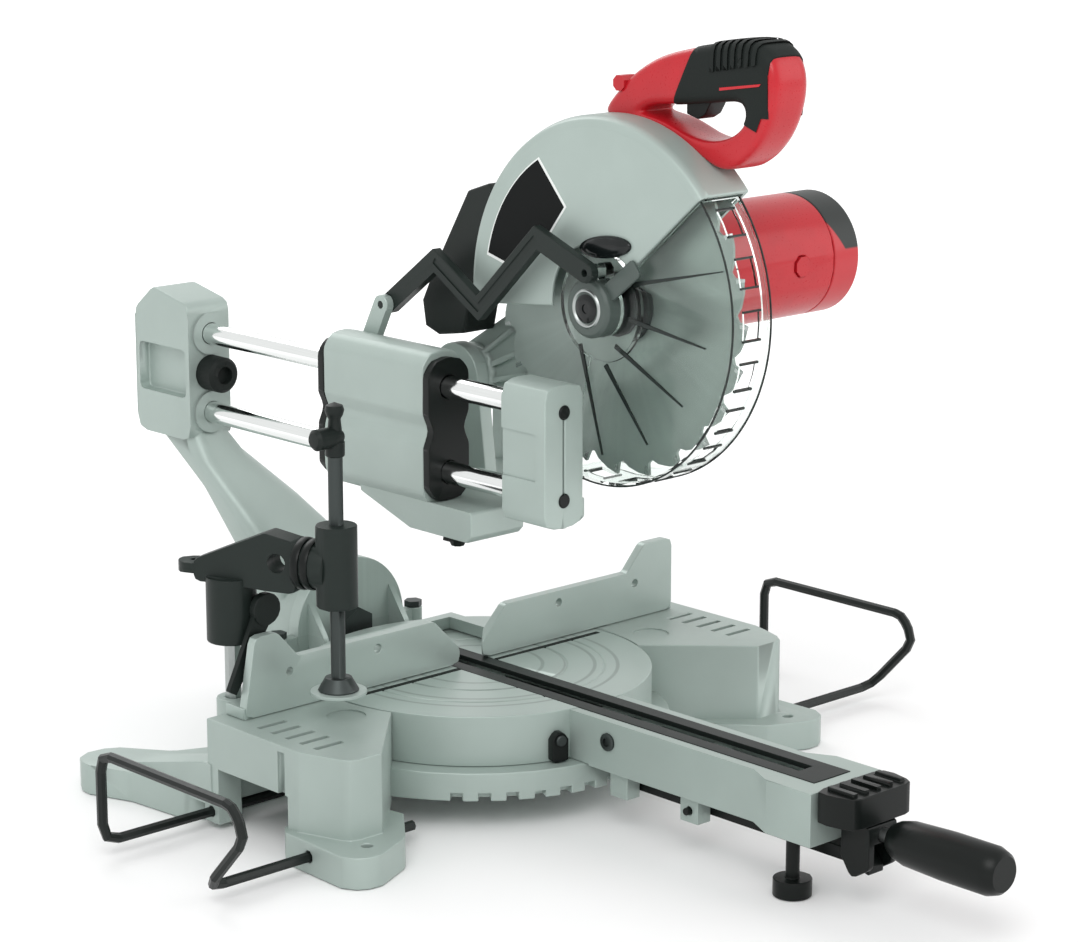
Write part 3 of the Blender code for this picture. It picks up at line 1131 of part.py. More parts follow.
def slide_lock_knob():
    """Wing knob under the carriage that locks the slide."""
    centre = (SLIDE_KNOB_X, SLIDE_KNOB_Y)
    top = CROSS_BOTTOM - FIT
    hub = lathe(((0, top), (2 * WALL, top), (2 * WALL, top - WALL), (WALL, top - 3 * WALL), (0, top - 3 * WALL)),
                "Z", centre, SMALL_ROUND)
    stem = rod("Z", centre, LEVER_PIN_RADIUS, top - SINK, RAIL_LOWER_Z - RAIL_RADIUS - BUSH_WALL - 2 * WALL,
               SMALL_ROUND)
    wings = prism(soften(((centre[0] - 3 * WALL, top - 2 * WALL), (centre[0] + 3 * WALL, top - 2 * WALL),
                          (centre[0] + 2 * WALL, top - WALL / 2), (centre[0] - 2 * WALL, top - WALL / 2)), WALL / 2),
                  "Y", centre[1] - WALL / 2, centre[1] + WALL / 2)
    return join(hub, stem, wings)


def guard_link():
    """Bent link between the carriage and the lower guard."""
    end = (BLADE_Y + LINK_PIN_OFFSET * math.cos(LINK_PIN_ANGLE), BLADE_Z + LINK_PIN_OFFSET * math.sin(LINK_PIN_ANGLE))
    path = ((LINK_PIVOT_Y, LINK_PIVOT_Z), *LINK_KNEES, end)
    strip = prism(band(path, LINK_HALF), "X", LINK_LEFT_X, LINK_RIGHT_X)
    eyes = [rod("X", place_now, LINK_HALF, LINK_LEFT_X, LINK_RIGHT_X) for place_now in (path[0], end)]
    hole = rod("X", end, LINK_PIN_RADIUS / 2, LINK_LEFT_X - OVERRUN, LINK_RIGHT_X + OVERRUN, SMALL_ROUND)
    pin = rod("X", path[0], LEVER_PIN_RADIUS, LINK_LEFT_X - FIT - LINK_LUG_THICKNESS, LINK_RIGHT_X - SINK, SMALL_ROUND)
    groove = prism(band(LINK_KNEES, LINK_HALF / 3), "X", LINK_LEFT_X - OVERRUN, LINK_LEFT_X + SINK)
    join(strip, *eyes)
    cut(strip, hole, groove)
    return join(strip, pin)


# Head

def blade_centre():
    return (BLADE_Y, BLADE_Z)


def head_casting():
    """Upper guard, gear case and the ribbed arm back to the pivot hub, in one casting."""
    left, right, outer, wall = GUARD_LEFT_X, GUARD_RIGHT_X, GUARD_RADIUS, GUARD_WALL
    edge = GUARD_EDGE
    section = ((left, GUARD_INNER_RADIUS), (left, outer - edge), (left + edge * 0.3, outer - edge * 0.3),
               (left + edge, outer), (right, outer), (right, GUARD_INNER_RADIUS), (right - wall, GUARD_INNER_RADIUS),
               (right - wall, outer - wall), (left + edge * 0.6, outer - wall), (left + wall, outer - edge * 0.6),
               (left + wall, GUARD_INNER_RADIUS))
    shell = sector(section, blade_centre(), GUARD_START, GUARD_END, GUARD_STEPS)
    case = rod("X", blade_centre(), GEAR_CASE_RADIUS, right - wall + FIT, GEAR_CASE_X)
    motor_seat = rod("X", (MOTOR_Y, MOTOR_Z), MOTOR_RADIUS, right - SINK, GEAR_CASE_X)
    arm_line = Vector((BLADE_Y - PIVOT_Y, BLADE_Z - PIVOT_Z))
    along = arm_line.normalized()
    side = Vector((-along.y, along.x))
    hub = Vector((PIVOT_Y, PIVOT_Z))
    root = Vector(blade_centre())
    outline = [hub + side * PIVOT_HUB_RADIUS, root + side * GEAR_CASE_RADIUS * 0.95,
               root - side * GEAR_CASE_RADIUS * 0.95, hub - side * PIVOT_HUB_RADIUS]
    arm_left = HUB_LEFT_X + 2 * WALL
    arm = prism([tuple(point) for point in outline], "X", arm_left, GEAR_CASE_X - WALL)
    clear = rod("X", blade_centre(), outer - wall, arm_left - OVERRUN, right - wall + FIT, ROUND)
    cut(arm, clear)
    pivot_hub = rod("X", (PIVOT_Y, PIVOT_Z), PIVOT_HUB_RADIUS, HUB_LEFT_X + FIT, HUB_RIGHT_X - FIT)
    ribs = []
    for i in range(ARM_RIB_COUNT):
        offset = side * PIVOT_HUB_RADIUS * (i - (ARM_RIB_COUNT - 1) / 2) * 0.75
        start = hub + offset * 0.6 + along * PIVOT_HUB_RADIUS * 0.5
        stop = hub + offset + along * (arm_line.length - GUARD_RADIUS + wall - SINK)
        ribs.append(prism(band((start, stop), ARM_RIB_WIDTH / 2), "X", arm_left - ARM_RIB_HEIGHT, arm_left + SINK))
    join(shell, case, motor_seat, arm, pivot_hub, *ribs)
    pin_bore = rod("X", (PIVOT_Y, PIVOT_Z), PIVOT_PIN_RADIUS + FIT, HUB_LEFT_X - OVERRUN, HUB_RIGHT_X + OVERRUN)
    floor = right - wall + RUNNING
    spindle_room = lathe(((0, 0), (FLANGE_RADIUS + RUNNING, 0), (FLANGE_RADIUS + RUNNING, floor),
                          (SPINDLE_RADIUS + FIT, floor), (SPINDLE_RADIUS + FIT, SPINDLE_END_X + FIT),
                          (0, SPINDLE_END_X + FIT)), "X", blade_centre(), MEDIUM_ROUND)
    return cut(shell, pin_bore, spindle_room)


def pivot_pin():
    """Pin that the head swings on."""
    left = HUB_LEFT_X - FIT - PIVOT_LUG_THICKNESS
    shank = rod("X", (PIVOT_Y, PIVOT_Z), PIVOT_PIN_RADIUS, left, CROSS_RIGHT_X)
    head = rod("X", (PIVOT_Y, PIVOT_Z), 2 * PIVOT_PIN_RADIUS, left - FIT - WALL, left - FIT)
    neck = rod("X", (PIVOT_Y, PIVOT_Z), PIVOT_PIN_RADIUS, left - FIT - SINK, left + SINK)
    return join(shank, head, neck)


def saw_blade():
    """Toothed disc with its bore."""
    outline = []
    step = 2 * math.pi / BLADE_TEETH
    for i in range(BLADE_TEETH):
        start = step * i
        for share, radius in ((0.0, BLADE_RADIUS), (0.30, BLADE_RADIUS - TOOTH_HEIGHT * 0.22),
                              (0.62, BLADE_RADIUS - TOOTH_HEIGHT * 0.60), (0.80, BLADE_RADIUS - TOOTH_HEIGHT),
                              (0.94, BLADE_RADIUS - TOOTH_HEIGHT * 0.80)):
            angle = start + step * share
            outline.append((BLADE_Y + radius * math.cos(angle), BLADE_Z + radius * math.sin(angle)))
    disc = prism(outline, "X", -BLADE_THICKNESS / 2, BLADE_THICKNESS / 2)
    bore = rod("X", blade_centre(), ARBOR_RADIUS + FIT, -OVERRUN, OVERRUN)
    return cut(disc, bore)


def spindle():
    """Driven shaft with the inner flange and the step that centres the blade."""
    half = BLADE_THICKNESS / 2
    profile = ((0, SPINDLE_END_X), (0, -half), (ARBOR_RADIUS, -half), (ARBOR_RADIUS, half + FIT),
               (FLANGE_RADIUS, half + FIT), (FLANGE_RADIUS, half + FLANGE_THICKNESS),
               (ARBOR_RADIUS, half + FLANGE_THICKNESS + WALL), (SPINDLE_RADIUS, half + FLANGE_THICKNESS + WALL),
               (SPINDLE_RADIUS, SPINDLE_END_X))
    return lathe(profile, "X", blade_centre(), MEDIUM_ROUND)


def arbor_bolt():
    """Outer flange and bolt that hold the blade on the spindle."""
    half = BLADE_THICKNESS / 2
    left = -half - FIT - FLANGE_THICKNESS
    flange = lathe(((0, -half - FIT), (FLANGE_RADIUS, -half - FIT), (FLANGE_RADIUS, -half - FIT - FLANGE_THICKNESS / 2),
                    (ARBOR_RADIUS, left), (0, left)), "X", blade_centre(), MEDIUM_ROUND)
    head = rod("X", blade_centre(), BOLT_HEAD_RADIUS, left - BOLT_HEAD_LENGTH, left + SINK, 6)
    return join(flange, head)


def lower_guard():
    """Clear guard with a side wall, a wide slotted rim and the pin for its link."""
    left, right, outer, wall = LOWER_LEFT_X, LOWER_RIGHT_X, LOWER_RADIUS, LOWER_WALL
    section = ((left, LOWER_HUB_RADIUS - 2 * WALL), (left, outer), (right, outer), (right, outer - LOWER_FLANGE),
               (right - wall, outer - LOWER_FLANGE), (right - wall, outer - wall), (left + wall, outer - wall),
               (left + wall, LOWER_HUB_RADIUS - 2 * WALL))
    shell = sector(section, blade_centre(), LOWER_START, LOWER_END, GUARD_STEPS)
    hub = pipe("X", blade_centre(), LOWER_HUB_RADIUS, LOWER_BORE, left - WALL / 4, left + wall + WALL / 4, ROUND)
    pin_centre = (BLADE_Y + LINK_PIN_OFFSET * math.cos(LINK_PIN_ANGLE),
                  BLADE_Z + LINK_PIN_OFFSET * math.sin(LINK_PIN_ANGLE))
    pin = rod("X", pin_centre, LINK_PIN_RADIUS, LINK_RIGHT_X + FIT, left + SINK, SMALL_ROUND)
    join(shell, hub, pin)
    windows = []
    span = (LOWER_END - LOWER_START) / WINDOW_COUNT
    middle = (left + right) / 2
    for i in range(WINDOW_COUNT):
        start = LOWER_START + span * (i + 0.22)
        stop = LOWER_START + span * (i + 0.78)
        slot = ((middle - WINDOW_WIDTH / 2, outer - wall - OVERRUN), (middle - WINDOW_WIDTH / 2, outer + OVERRUN),
                (middle + WINDOW_WIDTH / 2, outer + OVERRUN), (middle + WINDOW_WIDTH / 2, outer - wall - OVERRUN))
        windows.append(sector(slot, blade_centre(), start, stop, 2))
    return cut(shell, *windows)


def arbor_cover():
    """Round cover over the arbor bolt, with the ear that holds it to the upper guard."""
    centre = Vector(blade_centre())
    mouth = LOWER_LEFT_X + WALL / 2
    pocket = BOLT_HEAD_RADIUS + WALL
    profile = ((0, COVER_LEFT_X), (COVER_RADIUS - WALL / 2, COVER_LEFT_X), (COVER_RADIUS, COVER_LEFT_X + WALL / 2),
               (COVER_RADIUS, mouth), (pocket, mouth), (pocket, COVER_LEFT_X + WALL), (0, COVER_LEFT_X + WALL))
    cup = lathe(profile, "X", blade_centre(), MEDIUM_ROUND)
    toward = Vector((math.cos(CATCH_ANGLE), math.sin(CATCH_ANGLE)))
    right = GUARD_LEFT_X - FIT
    ear = prism(soften(band((centre + toward * (COVER_RADIUS - WALL / 2), centre + toward * CATCH_REACH), CATCH_HALF),
                       WALL / 2), "X", right - GUARD_WALL, right)
    return join(cup, ear)


def dust_port():
    """Outlet behind the upper guard."""
    body = prism(PORT_OUTLINE, "X", PORT_LEFT_X, PORT_RIGHT_X)
    clear = rod("X", blade_centre(), GUARD_RADIUS + FIT, PORT_LEFT_X - OVERRUN, PORT_RIGHT_X + OVERRUN, 2 * ROUND)
    middle = (PORT_LEFT_X + PORT_RIGHT_X) / 2
    bore = rod("Y", (middle, PORT_MOUTH[1]), PORT_BORE, PORT_MOUTH[0] - PORT_MOUTH_DEPTH, PORT_MOUTH[0] + OVERRUN)
    return cut(body, clear, bore)


def motor_housing():
    """Round red motor body, stepped where it meets the gear case."""
    start = GEAR_CASE_X + FIT
    radius = MOTOR_RADIUS
    profile = ((0, start), (radius - MOTOR_NECK, start), (radius - MOTOR_NECK, start + 2 * WALL),
               (radius, start + 4 * WALL), (radius, MOTOR_END_X), (0, MOTOR_END_X))
    body = lathe(profile, "X", (MOTOR_Y, MOTOR_Z), ROUND)
    brush_seats = [rod("Y", (BRUSH_CAP_X, MOTOR_Z), BRUSH_CAP_RADIUS + FIT, MOTOR_Y + side * (radius - WALL),
                       MOTOR_Y + side * (radius + OVERRUN), SMALL_ROUND) for side in (-1, 1)]
    return cut(body, *brush_seats)


def brush_cap(side):
    """Screw cap over a motor brush."""
    near = MOTOR_Y + side * (MOTOR_RADIUS - WALL + FIT)
    return rod("Y", (BRUSH_CAP_X, MOTOR_Z), BRUSH_CAP_RADIUS, near, MOTOR_Y + side * (MOTOR_RADIUS + SINK),
               SMALL_ROUND)


def motor_cap():
    """Dark end cap with air slots."""
    start = MOTOR_END_X + FIT
    end = MOTOR_CAP_END_X
    radius = MOTOR_RADIUS
    profile = ((0, start), (radius, start), (radius, end - 3 * WALL), (radius - WALL / 2, end - WALL),
               (radius - 2 * WALL, end), (0, end))
    cap = lathe(profile, "X", (MOTOR_Y, MOTOR_Z), ROUND)
    slots = []
    for i in range(VENT_COUNT):
        z = MOTOR_Z + (i - (VENT_COUNT - 1) / 2) * 2.4 * VENT_WIDTH
        slots.append(block(end - VENT_DEPTH, end + OVERRUN, MOTOR_Y - radius / 2, MOTOR_Y + radius / 2,
                           z - VENT_WIDTH / 2, z + VENT_WIDTH / 2))
    return cut(cap, *slots)


def handle_shell():
    """Red loop of the handle, open where the grip bridges it."""
    loop = prism(soften(HANDLE_OUTLINE, HANDLE_CORNER), "X", HANDLE_LEFT_X, HANDLE_RIGHT_X)
    gap = prism(soften(HANDLE_GAP, HANDLE_CORNER / 2), "X", HANDLE_LEFT_X - OVERRUN, HANDLE_RIGHT_X + OVERRUN)
    low = min(z for y, z in HANDLE_GAP)
    high = max(z for y, z in HANDLE_OUTLINE)
    grip_room = block(HANDLE_LEFT_X - OVERRUN, HANDLE_RIGHT_X + OVERRUN, GRIP_FRONT_Y - FIT, GRIP_REAR_Y + FIT,
                      (low + high) / 2 - 3 * WALL, high + OVERRUN)
    clear = rod("X", blade_centre(), GUARD_RADIUS + FIT, HANDLE_LEFT_X - OVERRUN, HANDLE_RIGHT_X + OVERRUN, 2 * ROUND)
    button_room = rod("X", (LOCK_BUTTON_Y, LOCK_BUTTON_Z), LOCK_BUTTON_RADIUS + FIT, HANDLE_LEFT_X - OVERRUN,
                      HANDLE_LEFT_X + 3 * WALL, SMALL_ROUND)
    return cut(loop, gap, grip_room, clear, button_room)


def handle_grip():
    """Dark ribbed grip between the ends of the red loop."""
    rear_top = HANDLE_OUTLINE[3]
    front_top = HANDLE_OUTLINE[4]
    slope = (front_top[1] - rear_top[1]) / (front_top[0] - rear_top[0])
    depth = 5 * WALL

    def top(y):
        return rear_top[1] + slope * (y - rear_top[0])
    outline = ((GRIP_REAR_Y, top(GRIP_REAR_Y) + GRIP_SWELL), (GRIP_FRONT_Y, top(GRIP_FRONT_Y) + GRIP_SWELL),
               (GRIP_FRONT_Y, top(GRIP_FRONT_Y) - depth), (GRIP_REAR_Y, top(GRIP_REAR_Y) - depth))
    grip = prism(soften(outline, WALL / 2), "X", HANDLE_LEFT_X - GRIP_SWELL, HANDLE_RIGHT_X + GRIP_SWELL)
    grooves = []
    pitch = (GRIP_REAR_Y - GRIP_FRONT_Y) * 0.7 / GRIP_RIBS
    for i in range(GRIP_RIBS):
        y = GRIP_FRONT_Y + 3 * WALL + pitch * i
        grooves.append(rod("X", (y, top(y) + GRIP_SWELL + SINK), 2 * SINK, HANDLE_LEFT_X - WALL,
                           HANDLE_RIGHT_X + WALL, 8))
    room = block(middle_of_handle() - 2 * WALL - FIT, middle_of_handle() + 2 * WALL + FIT,
                 TRIGGER_Y - TRIGGER_LENGTH / 2 - RUNNING, TRIGGER_Y + TRIGGER_LENGTH / 2 + FIT,
                 top(TRIGGER_Y) - depth - 2 * WALL, top(TRIGGER_Y) - depth + 2 * WALL)
    return cut(grip, *grooves, room)


def middle_of_handle():
    return (HANDLE_LEFT_X + HANDLE_RIGHT_X) / 2


def trigger_top():
    """Height of the trigger's upper face in its recess under the grip."""
    rear_top = HANDLE_OUTLINE[3]
    front_top = HANDLE_OUTLINE[4]
    slope = (front_top[1] - rear_top[1]) / (front_top[0] - rear_top[0])
    return rear_top[1] + slope * (TRIGGER_Y - rear_top[0]) - 5 * WALL + WALL - FIT


def trigger():
    """Switch trigger under the grip."""
    top = trigger_top()
    front = TRIGGER_Y - TRIGGER_LENGTH / 2
    rear = TRIGGER_Y + TRIGGER_LENGTH / 2
    outline = ((rear, top), (rear, top - WALL - SINK), (front + WALL, top - 2 * WALL), (front, top - 2 * WALL),
               (front, top))
    return prism(outline, "X", middle_of_handle() - 2 * WALL, middle_of_handle() + 2 * WALL)


def lock_off_button():
    """Button that frees the trigger."""
    return rod("X", (LOCK_BUTTON_Y, LOCK_BUTTON_Z), LOCK_BUTTON_RADIUS, HANDLE_LEFT_X - LOCK_BUTTON_PROUD,
               HANDLE_LEFT_X + 2 * WALL, SMALL_ROUND)


# Clamp

def clamp_post():
    """Upright rod in the base's left boss."""
    return rod("Z", (-POST_X, POST_Y), POST_RADIUS, POST_BOSS_BOTTOM + WALL + FIT, CLAMP_POST_TOP, SMALL_ROUND)


def clamp_arm():
    """Wedge-shaped arm from the post's sleeve to the boss that holds the pressing rod."""
    post = Vector((-POST_X, POST_Y))
    nose = Vector((CLAMP_ROD_X, CLAMP_ROD_Y))
    reach = (nose - post).length
    foot = CLAMP_SLEEVE_TOP - WALL
    outline = ((-CLAMP_TAIL_REACH, foot), (CLAMP_SLEEVE_RADIUS, foot), (CLAMP_CREST_REACH, CLAMP_THROAT_Z),
               (CLAMP_END_REACH, CLAMP_THROAT_Z), (CLAMP_END_REACH, CLAMP_END_TOP),
               (CLAMP_CREST_REACH, CLAMP_CREST_TOP), (-CLAMP_TAIL_REACH, CLAMP_TAIL_TOP))
    arm = prism(soften(outline, WALL), "X", -CLAMP_ARM_HALF, CLAMP_ARM_HALF)
    rim = CLAMP_END_REACH - SINK
    nut_profile = ((0, rim), (CLAMP_NUT_RADIUS, rim), (CLAMP_NUT_RADIUS, rim + CLAMP_NUT_RIM),
                   (CLAMP_NUT_NECK, rim + CLAMP_NUT_RIM), (CLAMP_NUT_NECK, rim + CLAMP_NUT_RIM + SINK),
                   (CLAMP_NUT_RADIUS, rim + CLAMP_NUT_RIM + SINK), (CLAMP_NUT_RADIUS, reach - CLAMP_NUT_RIM),
                   (0, reach - CLAMP_NUT_RIM))
    nut = lathe(nut_profile, "Y", (0, CLAMP_EYE_Z), MEDIUM_ROUND)
    tab = rod("Z", (0, -CLAMP_TAB_REACH), CLAMP_TAB_RADIUS, CLAMP_TAB_BOTTOM, CLAMP_TAB_TOP)
    eye = rod("X", (CLAMP_EYE_REACH, CLAMP_EYE_Z), CLAMP_EYE_RADIUS, -CLAMP_ARM_HALF - OVERRUN,
              CLAMP_ARM_HALF + OVERRUN)
    tab_hole = rod("Z", (0, -CLAMP_TAB_REACH), LEVER_PIN_RADIUS, CLAMP_TAB_BOTTOM - OVERRUN,
                   CLAMP_TAB_TOP + OVERRUN, SMALL_ROUND)
    turn = math.atan2(nose.y - post.y, nose.x - post.x) - math.pi / 2
    for shape in (arm, nut, tab, eye, tab_hole):
        shape.data.transform(Matrix.Rotation(turn, 4, "Z"))
        shape.data.transform(Matrix.Translation((*post, 0)))
    sleeve = rod("Z", post, CLAMP_SLEEVE_RADIUS, CLAMP_SLEEVE_BOTTOM, CLAMP_SLEEVE_TOP)
    boss = rod("Z", nose, CLAMP_BOSS_RADIUS, CLAMP_BOSS_BOTTOM, CLAMP_BOSS_TOP)
    pad = rod("Y", (CLAMP_LEVER_X, CLAMP_LEVER_Z), CLAMP_LEVER_PAD_RADIUS, CLAMP_LEVER_PAD_Y, POST_Y - 2 * WALL,
              SMALL_ROUND)
    join(arm, sleeve, boss, nut, tab, pad)
    post_bore = rod("Z", post, POST_RADIUS + FIT, CLAMP_SLEEVE_BOTTOM - OVERRUN, CLAMP_POST_TOP + FIT)
    rod_bore = rod("Z", nose, CLAMP_ROD_RADIUS + FIT, CLAMP_BOSS_BOTTOM - OVERRUN, CLAMP_BOSS_TOP + OVERRUN,
                   SMALL_ROUND)
    return cut(arm, eye, tab_hole, post_bore, rod_bore)


def clamp_lever():
    """Round knob on the sleeve's side with the tapered lever that locks the sleeve to the post."""
    hub = Vector((CLAMP_LEVER_X, CLAMP_LEVER_Z))
    tip = Vector(CLAMP_LEVER_TIP)
    along = (tip - hub).normalized()
    across = Vector((-along.y, along.x))
    rear = CLAMP_LEVER_PAD_Y - FIT
    front = rear - CLAMP_KNOB_LENGTH
    outline = (hub - across * CLAMP_LEVER_ROOT_HALF, tip - across * CLAMP_LEVER_HALF,
               tip + across * CLAMP_LEVER_HALF, hub + across * CLAMP_LEVER_ROOT_HALF)
    lever = prism([tuple(point) for point in outline], "Y", front + SINK, rear - SINK)
    knob = rod("Y", hub, CLAMP_KNOB_RADIUS, front, rear)
    return join(knob, lever)


def clamp_rod():
    """Pressing rod with its cone foot."""
    centre = (CLAMP_ROD_X, CLAMP_ROD_Y)
    profile = ((0, CLAMP_PAD_Z + FIT), (CLAMP_PAD_RADIUS * 0.72, CLAMP_PAD_Z + FIT),
               (CLAMP_PAD_RADIUS * 0.72, CLAMP_PAD_Z + SINK), (2 * WALL, CLAMP_PAD_Z + 2 * WALL),
               (CLAMP_ROD_RADIUS, CLAMP_PAD_Z + 2 * WALL), (CLAMP_ROD_RADIUS, CLAMP_ROD_TOP), (0, CLAMP_ROD_TOP))
    return lathe(profile, "Z", centre, SMALL_ROUND)


def clamp_pad():
    """Flat disc under the cone foot."""
    return rod("Z", (CLAMP_ROD_X, CLAMP_ROD_Y), CLAMP_PAD_RADIUS, CLAMP_PAD_Z - WALL / 2, CLAMP_PAD_Z)


def clamp_handle():
    """Turning handle on top of the pressing rod."""
    centre = (CLAMP_ROD_X, CLAMP_ROD_Y)
    bottom = CLAMP_ROD_TOP - 3 * WALL
    top = CLAMP_HANDLE_TOP
    bore = CLAMP_ROD_RADIUS + FIT
    collar = lathe(((bore, bottom), (CLAMP_COLLAR_RADIUS, bottom), (CLAMP_COLLAR_RADIUS, top - WALL / 2),
                    (WALL, top), (0, top), (0, CLAMP_ROD_TOP + FIT), (bore, CLAMP_ROD_TOP + FIT)), "Z", centre,
                   SMALL_ROUND)
    bar = rod("X", (0, 0), WALL, -CLAMP_BAR_HALF, CLAMP_BAR_HALF, SMALL_ROUND)
    bar.data.transform(Matrix.Rotation(CLAMP_BAR_ANGLE, 4, "Z"))
    bar.data.transform(Matrix.Translation((*centre, top - WALL - SINK)))
    core = rod("Z", centre, bore, bottom - OVERRUN, CLAMP_ROD_TOP + FIT, SMALL_ROUND)
    join(collar, bar)
    return cut(collar, core)


# Assembly

def centre_outline():
    """Move everything so that the middle of the saw's outline stands over the origin."""
    across = (WIRE_OUT_LEFT - WIRE_OUT_RIGHT) / 2
    along = -(BRACKET_REAR_Y + LOCK_GRIP_REAR_Y - LOCK_GRIP_LENGTH) / 2
    for thing in bpy.data.objects:
        if thing.parent is None:
            thing.location += Vector((across, along, 0))


def clear_scene():
    for thing in list(bpy.data.objects):
        bpy.data.objects.remove(thing)


def build():
    clear_scene()
    cast = material("painted_casting", (0.40, 0.46, 0.43), 0.45, 0.35)
    machined = material("machined_top", (0.48, 0.54, 0.51), 0.30, 0.6)
    chrome = material("polished_steel", (0.80, 0.82, 0.81), 0.12, 1.0)
    steel = material("saw_steel", (0.45, 0.48, 0.47), 0.30, 1.0)
    plastic = material("dark_plastic", (0.035, 0.055, 0.048), 0.45)
    rubber = material("black_rubber", (0.02, 0.03, 0.027), 0.75)
    red = material("red_shell", (0.58, 0.03, 0.04), 0.35)
    clear = material("clear_guard", (0.75, 0.82, 0.80), 0.08)

    base = pivot("saw_frame", (0, 0, 0))
    mitre = pivot("mitre_axis", (0, 0, RING_TOP), base)
    bevel = pivot("bevel_axis", (0, BEVEL_PLATE_Y, TABLE_HEIGHT), mitre)
    slide = pivot("slide_axis", (RAIL_X, (CARRIAGE_FRONT_Y + CARRIAGE_REAR_Y) / 2, RAIL_LOWER_Z), bevel)
    head = pivot("head_axis", (0, PIVOT_Y, PIVOT_Z), slide)
    arbor = pivot("arbor_axis", (0, BLADE_Y, BLADE_Z), head)
    guard = pivot("guard_axis", (0, BLADE_Y, BLADE_Z), head)
    link = pivot("link_axis", (LINK_LEFT_X, LINK_PIVOT_Y, LINK_PIVOT_Z), slide)
    trigger_axis = pivot("trigger_axis", (middle_of_handle(), TRIGGER_Y + TRIGGER_LENGTH / 2, trigger_top()), head)
    button_axis = pivot("button_axis", (HANDLE_LEFT_X, LOCK_BUTTON_Y, LOCK_BUTTON_Z), head)
    slide_lock = pivot("slide_lock_axis", (SLIDE_KNOB_X, SLIDE_KNOB_Y, CROSS_BOTTOM), slide)
    bevel_lock = pivot("bevel_lock_axis", (0, BEVEL_PLATE_Y + DRUM_LENGTH, TABLE_HEIGHT), mitre)
    mitre_lock = pivot("mitre_lock_axis", (0, LOCK_GRIP_REAR_Y, LOCK_ROD_Z), mitre)
    detent = pivot("detent_axis", (0, LUG_Y[1], (LEVER_TOP + LEVER_BOTTOM) / 2), mitre)
    foot = pivot("foot_axis", (ARM_FOOT_X, ARM_FOOT_Y, 0), mitre)
    post = pivot("post_axis", (-POST_X, POST_Y, CLAMP_SLEEVE_BOTTOM), base)
    press = pivot("press_axis", (CLAMP_ROD_X, CLAMP_ROD_Y, CLAMP_PAD_Z), post)
    sleeve_lock = pivot("sleeve_lock_axis", (CLAMP_LEVER_X, CLAMP_LEVER_PAD_Y, CLAMP_LEVER_Z), post)
    wire_left = pivot("wire_left_axis", (-WING_OUTER_X, WIRE_REAR_Y, WIRE_ROD_Z), base)
    wire_right = pivot("wire_right_axis", (WING_OUTER_X, WIRE_REAR_Y, WIRE_ROD_Z), base)

    piece("base_casting", base_casting(), cast, base)
    piece("fence", fence(), machined, base)
    piece("mitre_pivot_bolt", mitre_pivot_bolt(), steel, base)
    piece("clamp_post", clamp_post(), steel, base)
    piece("extension_wire_left", extension_wire(-1, WIRE_OUT_LEFT), plastic, wire_left)
    piece("extension_wire_right", extension_wire(1, WIRE_OUT_RIGHT), plastic, wire_right)
    piece("clamp_arm", clamp_arm(), plastic, post)
    piece("clamp_lever", clamp_lever(), plastic, sleeve_lock)
    piece("clamp_rod", clamp_rod(), steel, press)
    piece("clamp_pad", clamp_pad(), machined, press)
    piece("clamp_handle", clamp_handle(), plastic, press)

    piece("turntable", turntable(), machined, mitre)
    piece("kerf_plate", kerf_plate(), plastic, mitre)
    piece("wear_strip_left", wear_strip(-1), rubber, mitre)
    piece("wear_strip_right", wear_strip(1), rubber, mitre)
    piece("arm_end_cap", arm_end_cap(), plastic, mitre)
    piece("mitre_lock_body", mitre_lock_body(), plastic, mitre)
    piece("mitre_pointer", mitre_pointer(), plastic, mitre)
    piece("stop_bolt_left", stop_bolt(-1), steel, mitre)
    piece("stop_bolt_right", stop_bolt(1), steel, mitre)
    piece("bevel_bolt", bevel_bolt(), steel, mitre)
    piece("mitre_lock_rod", mitre_lock_rod(), steel, mitre_lock)
    piece("mitre_lock_grip", mitre_lock_grip(), plastic, mitre_lock)
    piece("detent_lever", detent_lever(), plastic, detent)
    piece("arm_foot", arm_foot(), plastic, foot)

    piece("tilt_arm", tilt_arm(), cast, bevel)
    piece("rail_upper", rail(RAIL_UPPER_Z), chrome, bevel)
    piece("rail_lower", rail(RAIL_LOWER_Z), chrome, bevel)
    piece("rail_bumper", rail_bumper(), rubber, bevel)
    piece("rail_end_cap", rail_end_cap(), cast, bevel)
    piece("bevel_lock_knob", bevel_knob(), plastic, bevel_lock)

    piece("carriage", carriage(), cast, slide)
    piece("slide_bush_upper", slide_bush(RAIL_UPPER_Z), steel, slide)
    piece("slide_bush_lower", slide_bush(RAIL_LOWER_Z), steel, slide)
    piece("seal_plate_front", seal_plate(True), plastic, slide)
    piece("seal_plate_rear", seal_plate(False), plastic, slide)
    piece("pivot_pin", pivot_pin(), steel, slide)
    piece("slide_lock_knob", slide_lock_knob(), plastic, slide_lock)
    piece("guard_link", guard_link(), plastic, link)

    piece("head_casting", head_casting(), cast, head)
    piece("dust_port", dust_port(), plastic, head)
    piece("arbor_cover", arbor_cover(), plastic, head)
    piece("motor_housing", motor_housing(), red, head)
    piece("motor_cap", motor_cap(), plastic, head)
    piece("brush_cap_front", brush_cap(-1), plastic, head)
    piece("brush_cap_rear", brush_cap(1), plastic, head)
    piece("handle_shell", handle_shell(), red, head)
    piece("handle_grip", handle_grip(), rubber, head)
    piece("trigger", trigger(), plastic, trigger_axis)
    piece("lock_off_button", lock_off_button(), plastic, button_axis)
    piece("spindle", spindle(), steel, arbor)
    piece("saw_blade", saw_blade(), steel, arbor)
    piece("arbor_bolt", arbor_bolt(), steel, arbor)
    piece("lower_guard", lower_guard(), clear, guard)
    centre_outline()


build()
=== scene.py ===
"""Sliding mitre saw: finishes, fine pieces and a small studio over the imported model."""

import json
import math

